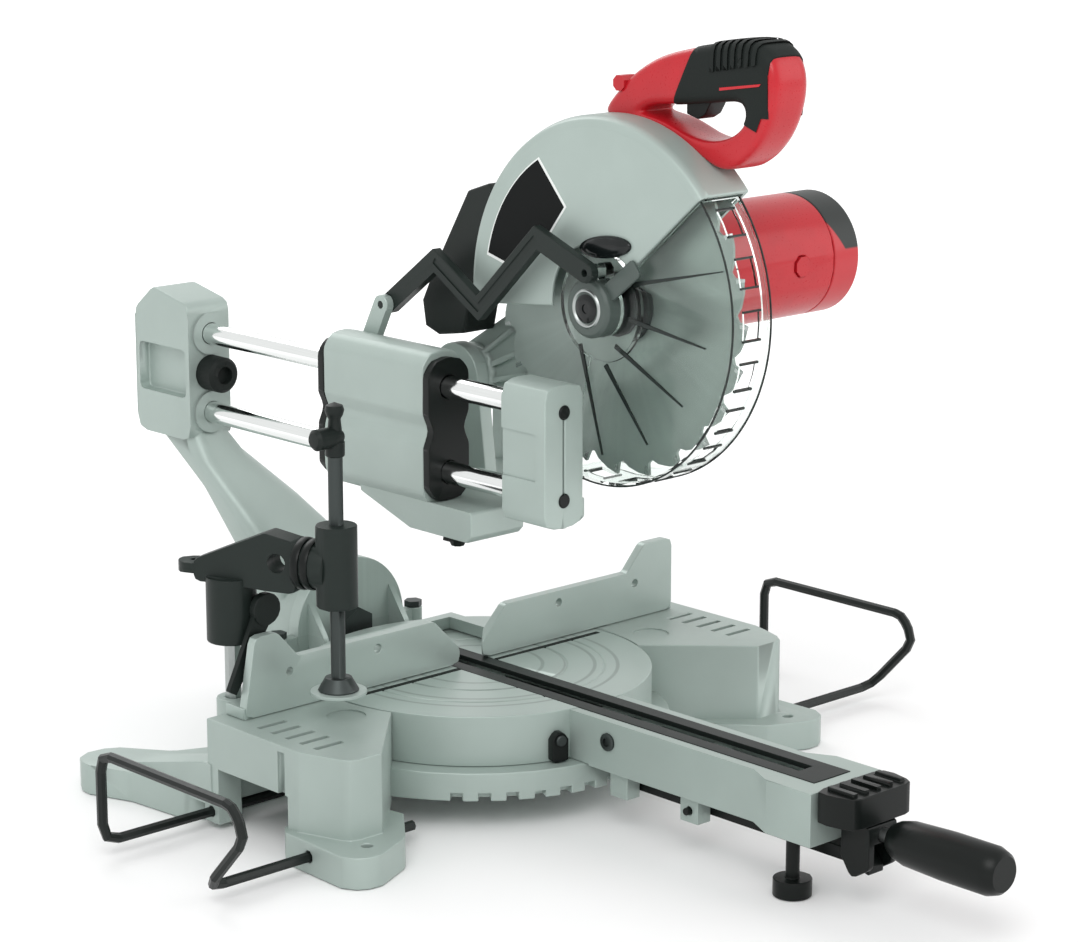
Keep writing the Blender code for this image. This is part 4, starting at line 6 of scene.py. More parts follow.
import bmesh
import bpy
from bpy.props import FloatProperty, FloatVectorProperty, IntProperty, PointerProperty
from mathutils import Matrix, Vector


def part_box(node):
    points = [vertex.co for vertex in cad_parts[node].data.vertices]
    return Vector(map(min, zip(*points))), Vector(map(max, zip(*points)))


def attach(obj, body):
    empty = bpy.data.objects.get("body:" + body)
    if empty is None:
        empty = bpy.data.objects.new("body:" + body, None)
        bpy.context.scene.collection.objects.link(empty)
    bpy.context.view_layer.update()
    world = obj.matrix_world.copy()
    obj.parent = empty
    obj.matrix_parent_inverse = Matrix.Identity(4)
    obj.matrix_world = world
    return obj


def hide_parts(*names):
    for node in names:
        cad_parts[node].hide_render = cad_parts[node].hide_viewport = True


bl_info = {
    "name": "Sliding mitre saw",
    "version": (1, 0, 0),
    "blender": (4, 5, 0),
    "location": "View3D > Sidebar > Mitre saw",
    "description": "Finishes and fine pieces for the packed model of a sliding mitre saw",
    "category": "Object",
}

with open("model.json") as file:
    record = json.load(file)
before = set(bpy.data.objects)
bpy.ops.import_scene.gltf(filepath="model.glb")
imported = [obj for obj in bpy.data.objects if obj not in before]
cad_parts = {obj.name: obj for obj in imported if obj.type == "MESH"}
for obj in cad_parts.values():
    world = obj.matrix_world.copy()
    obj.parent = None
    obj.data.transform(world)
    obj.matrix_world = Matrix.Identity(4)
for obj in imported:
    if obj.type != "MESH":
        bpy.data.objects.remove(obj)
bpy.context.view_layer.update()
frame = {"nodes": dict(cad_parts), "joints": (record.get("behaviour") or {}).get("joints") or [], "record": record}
NODES = frame["nodes"]
BODY = {node: body for body, names in frame["record"]["behaviour"]["bodies"].items() for node in names}
SLOT = {part["node"]: part["material_slot"] for part in frame["record"]["subparts"]}
HINGE = {joint["name"]: Vector(joint["pos_m"]) for joint in frame["joints"] if "pos_m" in joint}
TABLE = Vector((*HINGE["mitre_turn"].xy, 0))
BLADE = HINGE["blade_spin"]
HEAD = HINGE["head_swing"]
BEVEL = HINGE["bevel_tilt"]
RAILS = ("rail_upper", "rail_lower")

# Point of the blade's axis in the middle plane of the table
HUB = Vector((TABLE.x, *BLADE.yz))

ORIGIN = Vector((0, 0, 0))
AXES = {"X": 0, "Y": 1, "Z": 2}

# Points nearer than this are one point
MERGE = 1e-5

# Steps round a spun piece, and the angles in degrees above which an edge shows as sharp
ROUND = 48
SHARP = 38.0
SHARP_SKIN = 60.0

# Scales of the noise that several finishes share
CLOUD = 16.0
PEEL = 900.0
SPECK = 700.0


def at(x, y, z):
    """Point counted from the turntable's centre on the bench."""
    return TABLE + Vector((x, y, z))


def side_view(points):
    """Depths and heights counted from the turntable's centre, as depths and heights of the model."""
    return [at(0, y, z).yz for y, z in points]


def middle(node):
    """Middle of a node's box."""
    low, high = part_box(node)
    return (low + high) / 2


def rail_axis(node):
    """Point of a rail's axis at zero depth."""
    centre = middle(node)
    return Vector((centre.x, 0, centre.z))


def rail_circles():
    """Circles about the two rails, for the pieces that they run through."""
    return [("Y", middle(node), 0.008) for node in RAILS]


# Shader maths

class Signal:
    """Output of a shader node that takes part in sums as a number does."""

    def __init__(self, desk, socket):
        self.desk = desk
        self.socket = socket

    def maths(self, operation, *others):
        """Result of a Math node that takes this signal first."""
        sockets = dict(enumerate((self, *others)))
        return self.desk.node("Math", {"operation": operation}, sockets)

    def __add__(self, other):
        return self.maths("ADD", other)

    def __mul__(self, other):
        return self.maths("MULTIPLY", other)

    def __sub__(self, other):
        return self.maths("SUBTRACT", other)

    def __rsub__(self, other):
        return self.desk.node("Math", {"operation": "SUBTRACT"}, {0: other, 1: self})

    __radd__ = __add__

    def above(self, edge, soft=0.001):
        """0 below an edge and 1 above it, with a short ramp between."""
        return self.desk.node("MapRange", {"interpolation_type": "SMOOTHSTEP"},
                              {"Value": self, "From Min": edge - soft, "From Max": edge + soft})


class Desk:
    """Material with its Principled shader, on which nodes are laid."""

    def __init__(self, name):
        self.material = bpy.data.materials.new(name)
        self.material.use_nodes = True
        self.tree = self.material.node_tree
        self.shader = self.tree.nodes["Principled BSDF"]

    def feed(self, socket, value):
        """Link a signal to a socket, or set the socket to a plain value."""
        if isinstance(value, Signal):
            self.tree.links.new(value.socket, socket)
        else:
            socket.default_value = value

    def node(self, kind, settings=None, sockets=None, out=0):
        """Lay a node, and give the signal of one of its outputs."""
        made = self.tree.nodes.new("ShaderNode" + kind)
        for name, value in (settings or {}).items():
            setattr(made, name, value)
        for name, value in (sockets or {}).items():
            self.feed(made.inputs[name], value)
        return Signal(self, made.outputs[out])

    def place(self, centre=(0, 0, 0), stretch=(1, 1, 1)):
        """Object coordinates counted from a centre and stretched."""
        coordinates = self.node("TexCoord", out="Object")
        counted = self.node("VectorMath", {"operation": "SUBTRACT"}, {0: coordinates, 1: tuple(centre)})
        return self.node("VectorMath", {"operation": "MULTIPLY"}, {0: counted, 1: stretch})

    def noise(self, vector, scale, detail=2.0):
        """Noise through space."""
        return self.node("TexNoise", None, {"Vector": vector, "Scale": scale, "Detail": detail})

    def bands(self, along, scale, detail=2.0):
        """Noise along a single number."""
        sockets = {"W": along, "Scale": scale, "Detail": detail}
        return self.node("TexNoise", {"noise_dimensions": "1D"}, sockets)

    def mix(self, share, first, second):
        """From the first colour to the second by a share."""
        sockets = {0: share, 6: colour(first), 7: colour(second)}
        return self.node("Mix", {"data_type": "RGBA"}, sockets, out=2)

    def parts(self, vector):
        """The three coordinates of a vector."""
        split = self.tree.nodes.new("ShaderNodeSeparateXYZ")
        self.feed(split.inputs[0], vector)
        return [Signal(self, output) for output in split.outputs]

    def polar(self, centre, axis):
        """Distance from an axis, and the angle about it."""
        parts = self.parts(self.place(centre))
        a, b = [part for i, part in enumerate(parts) if i != AXES[axis]]
        return (a * a + b * b).maths("SQRT"), a.maths("ARCTAN2", b)

    def finish(self, base, rough, height=None, strength=0.2, distance=0.0005, **plain):
        """Connect what varies, and set what is plain on the shader's own sockets."""
        self.feed(self.shader.inputs["Base Color"], colour(base))
        self.feed(self.shader.inputs["Roughness"], rough)
        if height is not None:
            bump = self.node("Bump", None, {"Strength": strength, "Distance": distance, "Height": height})
            self.feed(self.shader.inputs["Normal"], bump)
        for name, value in plain.items():
            self.shader.inputs[name.replace("_", " ")].default_value = value
        return self.material


def colour(value):
    """A colour with its alpha, or a signal as it is."""
    return value if isinstance(value, Signal) else (*value[:3], 1.0)


def shade(tone, factor):
    """Darker or lighter form of a colour."""
    return tuple(channel * factor for channel in tone)


# Finishes

def painted(name, tone, rough=0.42, metallic=0.2):
    """Satin paint over cast metal: slow clouds of tone and a fine orange peel."""
    desk = Desk(name)
    where = desk.place()
    cloud = desk.noise(where, CLOUD, detail=3.0)
    peel = desk.noise(where, PEEL, detail=1.0)
    dust = desk.noise(where, scale=160.0, detail=4.0)
    base = desk.mix(cloud, shade(tone, 0.90), shade(tone, 1.10))
    return desk.finish(base, rough - 0.06 + dust * 0.12, peel + dust * 0.6, strength=0.10, distance=0.0003,
                       Metallic=metallic)


def moulded(name, tone, rough=0.45, grain=1400.0, strength=0.18, shine=0.22):
    """Moulded plastic with a spark-eroded grain."""
    desk = Desk(name)
    where = desk.place()
    cloud = desk.noise(where, scale=30.0, detail=3.0)
    pebble = desk.noise(where, grain)
    base = desk.mix(cloud, shade(tone, 0.82), shade(tone, 1.22))
    return desk.finish(base, rough - 0.06 + cloud * 0.12, pebble, strength, distance=0.0003,
                       Specular_IOR_Level=shine)


def glossy_shell(name, tone):
    """Gloss moulding with a faint ripple and a clear skin."""
    desk = Desk(name)
    where = desk.place()
    ripple = desk.noise(where, scale=60.0)
    speck = desk.noise(where, SPECK)
    base = desk.mix(ripple, shade(tone, 0.88), shade(tone, 1.08))
    return desk.finish(base, 0.24 + speck * 0.10, ripple + speck * 0.1, strength=0.06, distance=0.0006,
                       Coat_Weight=0.12, Coat_Roughness=0.12, Specular_IOR_Level=0.3)


def drawn(name, tone, axis, rough=0.16):
    """Steel with fine lines along one axis."""
    desk = Desk(name)
    stretch = [1.0, 1.0, 1.0]
    stretch[AXES[axis]] = 0.01
    lines = desk.noise(desk.place(stretch=stretch), scale=2600.0)
    smudge = desk.noise(desk.place(), scale=40.0)
    base = desk.mix(lines, shade(tone, 0.86), tone)
    return desk.finish(base, rough + lines * 0.06 + smudge * 0.05, lines, strength=0.05, distance=0.0002,
                       Metallic=1.0)


def turned(name, tone, centre, axis, rough, metallic):
    """Metal faced on a lathe: fine rings about an axis."""
    desk = Desk(name)
    radius, angle = desk.polar(centre, axis)
    rings = desk.bands(radius, scale=5200.0)
    sweep = desk.bands(angle, scale=3.0, detail=1.0)
    cloud = desk.noise(desk.place(), scale=18.0, detail=3.0)
    base = desk.mix(rings * 0.5 + sweep * 0.3 + cloud * 0.2, shade(tone, 0.80), shade(tone, 1.10))
    return desk.finish(base, rough + rings * 0.10 + cloud * 0.06, rings, strength=0.08, distance=0.0002,
                       Metallic=metallic)


def ground_disc(name, tone, rim):
    """Blade plate: rings from the grinder, faint spokes and a darker tint beyond a radius."""
    desk = Desk(name)
    radius, angle = desk.polar(BLADE, "X")
    rings = desk.bands(radius, scale=3800.0, detail=3.0)
    spokes = desk.bands(angle, scale=9.0)
    edge = radius.above(rim, soft=0.006)
    disc = desk.mix(rings * 0.6 + spokes * 0.4, shade(tone, 0.7), shade(tone, 1.15))
    smudge = desk.noise(desk.place(), scale=24.0, detail=3.0)
    base = desk.mix(edge * 0.25, disc, shade(tone, 0.6))
    return desk.finish(base, 0.30 + smudge * 0.25, rings, strength=0.06, distance=0.0002, Metallic=0.45)


# Radii of the grooves turned into the table and darkened with painted shade, and half their width
TABLE_RINGS = (0.051, 0.069, 0.092, 0.110)
GROOVE_HALF = 0.0014


def table_metal(name, tone, top):
    """Turned top on a painted casting: rings and grooves with painted shade on top, paint on the sides."""
    desk = Desk(name)
    where = desk.place()
    radius, _ = desk.polar(TABLE, "Z")
    rings = desk.bands(radius, scale=2600.0, detail=3.0)
    cloud = desk.noise(where, CLOUD, detail=3.0)
    peel = desk.noise(where, PEEL, detail=1.0)
    height = desk.parts(where)[2]
    upper = height.above(top - 0.0004, soft=0.0003)
    side = desk.mix(cloud, shade(tone, 0.88), shade(tone, 1.08))
    faced = desk.mix(rings * 0.6 + cloud * 0.4, shade(tone, 0.92), shade(tone, 1.18))
    # Grooves on the top: dented by the bump, and darkened in colour as painted shade
    shaded_groove = 0
    for ring in TABLE_RINGS:
        beside = (radius - ring).maths("ABSOLUTE").above(GROOVE_HALF, soft=0.0006)
        shaded_groove = shaded_groove + (1 - beside) * upper
    # The darker tone in the grooves is painted shade
    base = desk.mix(shaded_groove * 0.55, desk.mix(upper, side, faced), shade(tone, 0.45))
    relief = rings * upper * 0.3 + peel * (1 - upper) - shaded_groove * 2
    return desk.finish(base, 0.42 - upper * 0.12 + cloud * 0.08, relief, strength=0.15, distance=0.0004,
                       Metallic=0.3)


# The motor cap's second colour, counted from the cap's middle: where its outer end begins, the lower
# edge of its upper panel, and the panel's slanting inner edge with its slope
END_FROM = 0.013
PANEL_FLOOR = 0.008
PANEL_EDGE = -0.004
PANEL_SLOPE = 0.6


def two_tone(name, main, second, centre):
    """Gloss moulding whose upper panel and outer end have a second colour."""
    desk = Desk(name)
    x, _, z = desk.parts(desk.place(centre))
    speck = desk.noise(desk.place(), SPECK)
    end = x.above(END_FROM)
    panel = (x + z * PANEL_SLOPE).above(PANEL_EDGE) * z.above(PANEL_FLOOR)
    share = end.maths("MAXIMUM", panel)
    base = desk.mix(share, main, second)
    return desk.finish(base, 0.26 + share * 0.16 + speck * 0.08, speck, strength=0.05, distance=0.0003)


def clear_plastic(name, tint):
    """Clear moulding with faint scuffs."""
    desk = Desk(name)
    scuff = desk.noise(desk.place(stretch=(1.0, 0.3, 1.0)), scale=420.0, detail=4.0)
    base = desk.mix(scuff, shade(tint, 0.96), tint)
    return desk.finish(base, 0.02 + scuff.above(0.62, soft=0.1) * 0.12, scuff, strength=0.03,
                       distance=0.0002, Transmission_Weight=1.0, IOR=1.25)


# Making pieces

FINISH = {}


def settle(name, bm, finish, body, slot, stands_for=(), edge=0.0, segments=2, sharp=SHARP, outward=True):
    """Turn a bmesh into a finished piece that rides on a body."""
    if outward:
        bmesh.ops.recalc_face_normals(bm, faces=bm.faces)
    if edge:
        ease(bm, edge, segments, math.radians(sharp))
    mesh = bpy.data.meshes.new(name)
    bm.to_mesh(mesh)
    bm.free()
    piece = bpy.data.objects.new(name, mesh)
    bpy.context.scene.collection.objects.link(piece)
    mesh.materials.append(FINISH[finish])
    mesh.shade_smooth()
    mesh.set_sharp_from_angle(angle=math.radians(sharp))
    if edge:
        weight = piece.modifiers.new("Shading", "WEIGHTED_NORMAL")
        weight.keep_sharp = True
        weight.weight = 80
    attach(piece, body)
    if stands_for:
        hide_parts(*stands_for)


def added(name, bm, finish, node, **making):
    """Finished piece that rides on a CAD node's body."""
    settle(name, bm, finish, BODY[node], SLOT[node], **making)


def stand_in(name, bm, finish, node, **making):
    """Finished piece that is shown in place of a CAD node."""
    settle(name, bm, finish, BODY[node], SLOT[node], (node,), **making)


def vertices_in(geometry):
    """The vertices among the elements that a bmesh operator made."""
    return [item for item in geometry if isinstance(item, bmesh.types.BMVert)]


def moved(bm, matrix):
    """Move all of a bmesh."""
    bmesh.ops.transform(bm, matrix=matrix, verts=bm.verts)
    return bm


def shifted(profile, start):
    """Profile of (radius, along) points, counted from a new start along its axis."""
    return [(radius, start + along) for radius, along in profile]


def across(axis):
    """Turn that brings +Z onto the named axis, in a way that keeps right-handed order."""
    turns = {"X": Matrix.Rotation(math.pi / 2, 4, "Y"),
             "Y": Matrix.Rotation(-math.pi / 2, 4, "X"),
             "Z": Matrix()}
    return turns[axis]


def spun(profile, axis, centre, steps=ROUND, bm=None):
    """Open or closed profile of (radius, along) points spun about an axis through centre."""
    bm = bm or bmesh.new()
    old = set(bm.verts)
    points = [bm.verts.new((radius, 0, along)) for radius, along in profile]
    lines = [bm.edges.new(pair) for pair in zip(points, points[1:])]
    bmesh.ops.spin(bm, geom=points + lines, cent=ORIGIN, axis=(0, 0, 1), angle=2 * math.pi, steps=steps,
                   use_merge=True)
    fresh = [vertex for vertex in bm.verts if vertex not in old]
    bmesh.ops.remove_doubles(bm, verts=fresh, dist=MERGE)
    fresh = [vertex for vertex in fresh if vertex.is_valid]
    bmesh.ops.transform(bm, matrix=Matrix.Translation(centre) @ across(axis), verts=fresh)
    return bm


def plate(outline, axis, start, end, bm=None):
    """Flat outline in the plane across an axis, extruded along it."""
    bm = bm or bmesh.new()
    along = AXES[axis]
    corners = [bm.verts.new((*point[:along], start, *point[along:])) for point in outline]
    made = bmesh.ops.extrude_face_region(bm, geom=[bm.faces.new(corners)])
    shift = Vector((0, 0, 0))
    shift[along] = end - start
    bmesh.ops.translate(bm, vec=shift, verts=vertices_in(made["geom"]))
    return bm


def strip(left, right, low, high):
    """Four corners of (x, radius) for a strip to sweep."""
    return [(left, low), (left, high), (right, high), (right, low)]


def swept(outline, centre, start, end, steps, bm):
    """Closed outline of (x, radius) points swept about the X axis through centre."""
    old = set(bm.verts)
    points = [bm.verts.new((centre.x + x, centre.y + radius * math.cos(start),
                            centre.z + radius * math.sin(start))) for x, radius in outline]
    face = bm.faces.new(points)
    bmesh.ops.spin(bm, geom=[face, *face.edges, *points], cent=centre, axis=(1, 0, 0), angle=end - start,
                   steps=steps, use_merge=False)
    fresh = [vertex for vertex in bm.verts if vertex not in old]
    bmesh.ops.remove_doubles(bm, verts=fresh, dist=MERGE / 10)


def smoothed(bm, levels):
    """Subdivided surface of a cage."""
    cage = bpy.data.objects.new("cage", bpy.data.meshes.new("cage"))
    bm.to_mesh(cage.data)
    bm.free()
    bpy.context.scene.collection.objects.link(cage)
    cage.modifiers.new("Skin", "SUBSURF").levels = levels
    skin = bmesh.new()
    skin.from_object(cage, bpy.context.evaluated_depsgraph_get())
    mesh = cage.data
    bpy.data.objects.remove(cage)
    bpy.data.meshes.remove(mesh)
    return skin


def trimmed(bm, planes, swell):
    """Keep what lies behind every plane, push the skin outward and close the cuts.

    A plane is a point counted from the turntable's centre and the way to the side that is cut off.
    """
    for point, normal in planes:
        bmesh.ops.bisect_plane(bm, geom=[*bm.verts, *bm.edges, *bm.faces], dist=MERGE / 10,
                               plane_co=at(*point), plane_no=normal, clear_outer=True)
    bm.normal_update()
    for vertex, way in [(vertex, vertex.normal.copy()) for vertex in bm.verts]:
        vertex.co += way * swell
    bmesh.ops.holes_fill(bm, edges=[edge for edge in bm.edges if edge.is_boundary], sides=0)
    return bm


# Socket screw, as shares of its radius and of its head's height
SCREW_SHARES = ((0, 0), (1, 0), (1, 0.75), (0.85, 1), (0.5, 1), (0.5, 0.35), (0, 0.35))


def socket_screw(centre, axis, radius, height):
    """Cap head with a round socket, standing on a face; its height may be negative."""
    return spun([(radius * across_share, height * up_share) for across_share, up_share in SCREW_SHARES],
                axis, centre, 24)


# Easing edges

# Bevel widths that a face needs beside an eased edge, and those below which an edge is short
ROOM_SHARE = 2.2
SHORT_SHARE = 1.3

# Times that the bevel is tried, and by what share and area a folded face's triangles exceed the face
TRIALS = 8
FOLD_SHARE = 1.02
FOLD_AREA = 2e-7


def room(edge, need):
    """True where the two faces beside an edge are wide enough for a bevel."""
    start, end = (vertex.co for vertex in edge.verts)
    length = (end - start).length
    along = (end - start) / length
    for face in edge.link_faces:
        inward = face.normal.cross(along)
        for line in face.edges:
            if line is edge or set(line.verts) & set(edge.verts):
                continue
            first, last = (vertex.co - start for vertex in line.verts)
            reach = sorted((first.dot(along), last.dot(along)))
            depth = min(abs(first.dot(inward)), abs(last.dot(inward)))
            if reach[1] > 0 and reach[0] < length and depth < need:
                return False
    return True


def folded(bm):
    """Centres of the faces that lie over themselves."""
    covered = {}
    for corners in bm.calc_loop_triangles():
        first, second, third = (corner.vert.co for corner in corners)
        face = corners[0].face
        covered[face] = covered.get(face, 0) + (second - first).cross(third - first).length / 2
    return [face.calc_center_median() for face, area in covered.items()
            if area > FOLD_SHARE * face.calc_area() + FOLD_AREA]


def gap_to(point, start, end):
    """Distance from a point to a stretch."""
    share = max(0.0, min(1.0, (point - start).dot(end - start) / (end - start).length_squared))
    return (point - start.lerp(end, share)).length


def bevel(bm, edges, width, segments):
    """Round the given edges."""
    bmesh.ops.bevel(bm, geom=edges, offset=width, offset_type="OFFSET", segments=segments, profile=0.5,
                    affect="EDGES", clamp_overlap=False, material=-1)
    bm.normal_update()


def ease(bm, width, segments, sharp):
    """Round the sharp edges that have room for it."""
    bm.normal_update()
    bm.edges.index_update()
    chosen = {edge for edge in bm.edges
              if edge.is_manifold and edge.calc_face_angle(0.0) > sharp and room(edge, ROOM_SHARE * width)}
    for trial in range(TRIALS):
        before = -1
        while before != len(chosen):
            before = len(chosen)
            for edge in list(chosen):
                if any(other not in chosen and other.calc_length() < SHORT_SHARE * width
                       for vertex in edge.verts for other in vertex.link_edges):
                    chosen.discard(edge)
        copy = bm.copy()
        copy.edges.ensure_lookup_table()
        bevel(copy, [copy.edges[edge.index] for edge in chosen], width, segments)
        folds = folded(copy)
        copy.free()
        if not folds:
            break
        reach = width * (3 + trial)
        for edge in list(chosen):
            start, end = (vertex.co for vertex in edge.verts)
            if any(gap_to(point, start, end) < reach for point in folds):
                chosen.discard(edge)
    bevel(bm, list(chosen), width, segments)


# Rounding out the circles of CAD nodes

# Least and most angle that a circle's chord spans, and the cuts that it gets
CHORD_LEAST = math.radians(2)
CHORD_MOST = math.radians(47)
CHORD_CUTS = 2

# A face this square to the axis is an end face, and a new point goes out by no more than this
END_FACE = 0.999
OUTWARD_MOST = 1.09


def copied(node):
    """A merged copy of a CAD node's mesh, with its flat faces whole again."""
    bm = bmesh.new()
    bm.from_mesh(NODES[node].data)
    bmesh.ops.remove_doubles(bm, verts=bm.verts, dist=MERGE)
    bmesh.ops.dissolve_limit(bm, angle_limit=math.radians(0.5), verts=bm.verts, edges=bm.edges)
    return bm


def chords_about(bm, along, polar, least):
    """Radius and level of each edge that is a chord of a circle and can be cut without a gap."""
    chords = {}
    for line in bm.edges:
        (radius, level), (other_radius, other_level) = (polar(vertex) for vertex in line.verts)
        if radius < least or abs(radius - other_radius) > MERGE or abs(level - other_level) > MERGE:
            continue
        if CHORD_LEAST < 2 * math.asin(min(1.0, line.calc_length() / (2 * radius))) < CHORD_MOST:
            chords[line] = (radius, level)
    before = -1
    while before != len(chords):
        before = len(chords)
        for line in list(chords):
            for face in line.link_faces:
                facing = [other for other in face.edges if not set(other.verts) & set(line.verts)]
                beside = abs(face.normal[along]) < END_FACE
                if beside and (len(face.verts) != 4 or facing[0] not in chords):
                    chords.pop(line, None)
    return chords


def round_out(bm, axis, centre, least):
    """Cut the chords of circles about an axis and bring the new points out to the circles."""
    along = AXES[axis]
    plane = [i for i in range(3) if i != along]

    def polar(vertex):
        offset = vertex.co - centre
        return math.hypot(*(offset[i] for i in plane)), round(offset[along], 5)

    chords = chords_about(bm, along, polar, least)
    circles = {}
    for radius, level in chords.values():
        circles.setdefault(level, set()).add(radius)
    made = bmesh.ops.subdivide_edges(bm, edges=list(chords), cuts=CHORD_CUTS)
    for vertex in vertices_in(made["geom_inner"]):
        now, level = polar(vertex)
        radius = min((one for one in circles.get(level, ()) if one > now - MERGE), default=now)
        if radius < OUTWARD_MOST * now:
            for i in plane:
                vertex.co[i] = centre[i] + (vertex.co[i] - centre[i]) * radius / now
    return bm


def dress(node, finish, edge, circles=(), sharp=SHARP, segments=2):
    """Stand-in for a CAD node with rounder circles and eased edges.

    A circle is given by its axis, a point on the axis and the least radius that is rounded out.
    """
    bm = copied(node)
    for axis, centre, least in circles:
        round_out(bm, axis, centre, least)
    stand_in(node + "_dressed", bm, finish, node, edge=edge, segments=segments, sharp=sharp, outward=False)


def paint_node(node, finish):
    """Give a CAD node a better finish."""
    slots = NODES[node].material_slots
    for slot in slots:
        slot.material = FINISH[finish]
    if not slots:
        NODES[node].data.materials.append(FINISH[finish])


# Sizes and colours

class SawSizes(bpy.types.PropertyGroup):
    """Sizes that a user may change."""

    casting_edge: FloatProperty(name="Casting edge", description="Rounding of the castings' edges",
                                default=0.0011, unit="LENGTH")
    plastic_edge: FloatProperty(name="Plastic edge", description="Rounding of the mouldings' edges",
                                default=0.0008, unit="LENGTH")
    grip_ribs: IntProperty(name="Grip ribs", description="Number of ribs across the handle's grip",
                           default=7, min=0)
    tip_length: FloatProperty(name="Tip length", description="Length of the hard tip on each blade tooth",
                              default=0.007, unit="LENGTH")
    rib_width: FloatProperty(name="Rib width", description="Width of the moulded ribs on the clear guard",
                             default=0.0036, unit="LENGTH")
    motor_taper: FloatProperty(name="Motor taper",
                               description="Width of the motor's end as a share of its root",
                               default=0.78, subtype="FACTOR")
    port_depth: FloatProperty(name="Port depth",
                              description="Depth of the dust port as a share of the model's",
                              default=0.86, subtype="FACTOR")
    key_light: FloatProperty(name="Key light", description="Power of the large front light", default=36.0,
                             unit="POWER")


class SawColours(bpy.types.PropertyGroup):
    """Colours that a user may change."""

    casting: FloatVectorProperty(name="Casting paint", description="Paint of the castings",
                                 subtype="COLOR", default=(0.36, 0.43, 0.40))
    plastic: FloatVectorProperty(name="Dark plastic", description="Knobs, link and clamp",
                                 subtype="COLOR", default=(0.0085, 0.0125, 0.011))
    shell: FloatVectorProperty(name="Red shell", description="Motor housing and handle",
                               subtype="COLOR", default=(0.47, 0.012, 0.020))
    floor: FloatVectorProperty(name="Floor", description="Floor and backdrop",
                               subtype="COLOR", default=(0.94, 0.94, 0.94))


class SawOperator(bpy.types.Operator):
    """Common ground of the operators below."""

    bl_options = {"REGISTER", "UNDO"}

    @property
    def sizes(self):
        return bpy.context.scene.saw_sizes

    @property
    def tones(self):
        return bpy.context.scene.saw_colours


# Radius beyond which the blade has a darker tint
TINT_FROM = 0.112


class SAW_OT_finishes(SawOperator):
    """Mix the paints, plastics and metals"""

    bl_idname = "saw.finishes"
    bl_label = "Finishes"

    def execute(self, context):
        cast = tuple(self.tones.casting)
        dark = tuple(self.tones.plastic)
        red = tuple(self.tones.shell)
        table_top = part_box("kerf_plate")[1].z
        FINISH.update({
            "cast": painted("cast_paint", cast),
            "table": table_metal("faced_table", cast, table_top),
            "machined": painted("machined_fence", shade(cast, 1.06), rough=0.34, metallic=0.35),
            "chrome": drawn("rail_chrome", (0.86, 0.88, 0.87), "Y", rough=0.05),
            "steel": drawn("bright_steel", (0.42, 0.45, 0.44), "Z", rough=0.28),
            "fastener": turned("dark_fastener", (0.06, 0.07, 0.068), ORIGIN, "Z", rough=0.38, metallic=0.9),
            "blade": ground_disc("ground_blade", (0.36, 0.43, 0.40), TINT_FROM),
            "tip": drawn("hard_tip", (0.50, 0.53, 0.52), "Y", rough=0.2),
            "plastic": moulded("dark_plastic", dark),
            "plastic_worn": moulded("dark_arm_plastic", shade(dark, 1.5), rough=0.42),
            "black": moulded("black_plastic", shade(dark, 0.45), rough=0.35),
            "wire": painted("wire_lacquer", shade(dark, 0.8), rough=0.36, metallic=0.4),
            "rubber": moulded("grip_rubber", shade(dark, 0.8), rough=0.62, grain=900.0, strength=0.35),
            "red": glossy_shell("red_shell", red),
            "red_line": glossy_shell("red_inlay", shade(red, 1.1)),
            "clear": clear_plastic("clear_guard", (0.93, 0.97, 0.95)),
            "label_edge": painted("label_border", (0.75, 0.78, 0.76), rough=0.3, metallic=0.0),
            # The guard's ribs, rings and rungs are clear moulding; this near black is painted shade
            "rib": moulded("guard_rib_shade", (0.016, 0.022, 0.020), rough=0.25),
            "hub": moulded("hub_moulding", (0.075, 0.095, 0.087), rough=0.3),
            "bare_panel": moulded("bare_panel", (0.004, 0.005, 0.005), rough=0.5, strength=0.04, shine=0.1),
            "gloss_black": moulded("gloss_black", (0.006, 0.008, 0.008), rough=0.14, strength=0.04,
                                   shine=0.3),
            "motor_end": two_tone("motor_end", red, dark, middle("motor_cap")),
        })
        return {"FINISHED"}


# Places of the two post bosses, either side of the turntable's centre
BOSS_X = 0.205
BOSS_Y = 0.046


class SAW_OT_castings(SawOperator):
    """Ease the edges of the castings and round out their circles"""

    bl_idname = "saw.castings"
    bl_label = "Castings"

    def execute(self, context):
        edge = self.sizes.casting_edge
        rails = rail_circles()
        bosses = [("Z", at(side * BOSS_X, BOSS_Y, 0), 0.008) for side in (-1, 1)]
        dress("base_casting", "cast", edge, [("Z", TABLE, 0.13), *bosses])
        dress("tilt_arm", "cast", edge * 1.4, [*rails, ("Y", BEVEL, 0.03)], sharp=50.0)
        dress("carriage", "cast", edge, [*rails, ("X", HEAD, 0.015)])
        dress("rail_end_cap", "cast", edge, rails)
        dress("head_casting", "cast", edge, [("X", BLADE, 0.04), ("X", HEAD, 0.015)])
        return {"FINISHED"}


# Mitre pointer: shares of its half width and half height, its middle's height, its front and rear, and
# how far it stands turned about the table
POINTER_SHARES = ((-1, -0.9), (-0.5, -1), (0.5, -1), (1, -0.9), (1, 0.5), (0.6, 0.85), (0.25, 1),
                  (-0.25, 1), (-0.6, 0.85), (-1, 0.5))
POINTER_HALF_WIDTH = 0.007
POINTER_HALF_HEIGHT = 0.0115
POINTER_HEIGHT = 0.0585
POINTER_FRONT = -0.1435
POINTER_REAR = -0.1355
POINTER_TURN = math.radians(-16.3)
POINTER_EDGE = 0.0012

# The pointer's screw, as radius and distance forward from the turntable's axis, and its height
POINTER_SCREW = ((0, 0.1425), (0.0042, 0.1425), (0.0042, 0.1453), (0.0034, 0.1460), (0, 0.1460))
POINTER_SCREW_HEIGHT = 0.0640

# Screw in the left side of the table's arm: its seat, its radius, and its height to the left
ARM_SCREW = (-0.0265, -0.1746, 0.0688)
ARM_SCREW_RADIUS = 0.0068
ARM_SCREW_HEIGHT = -0.0028


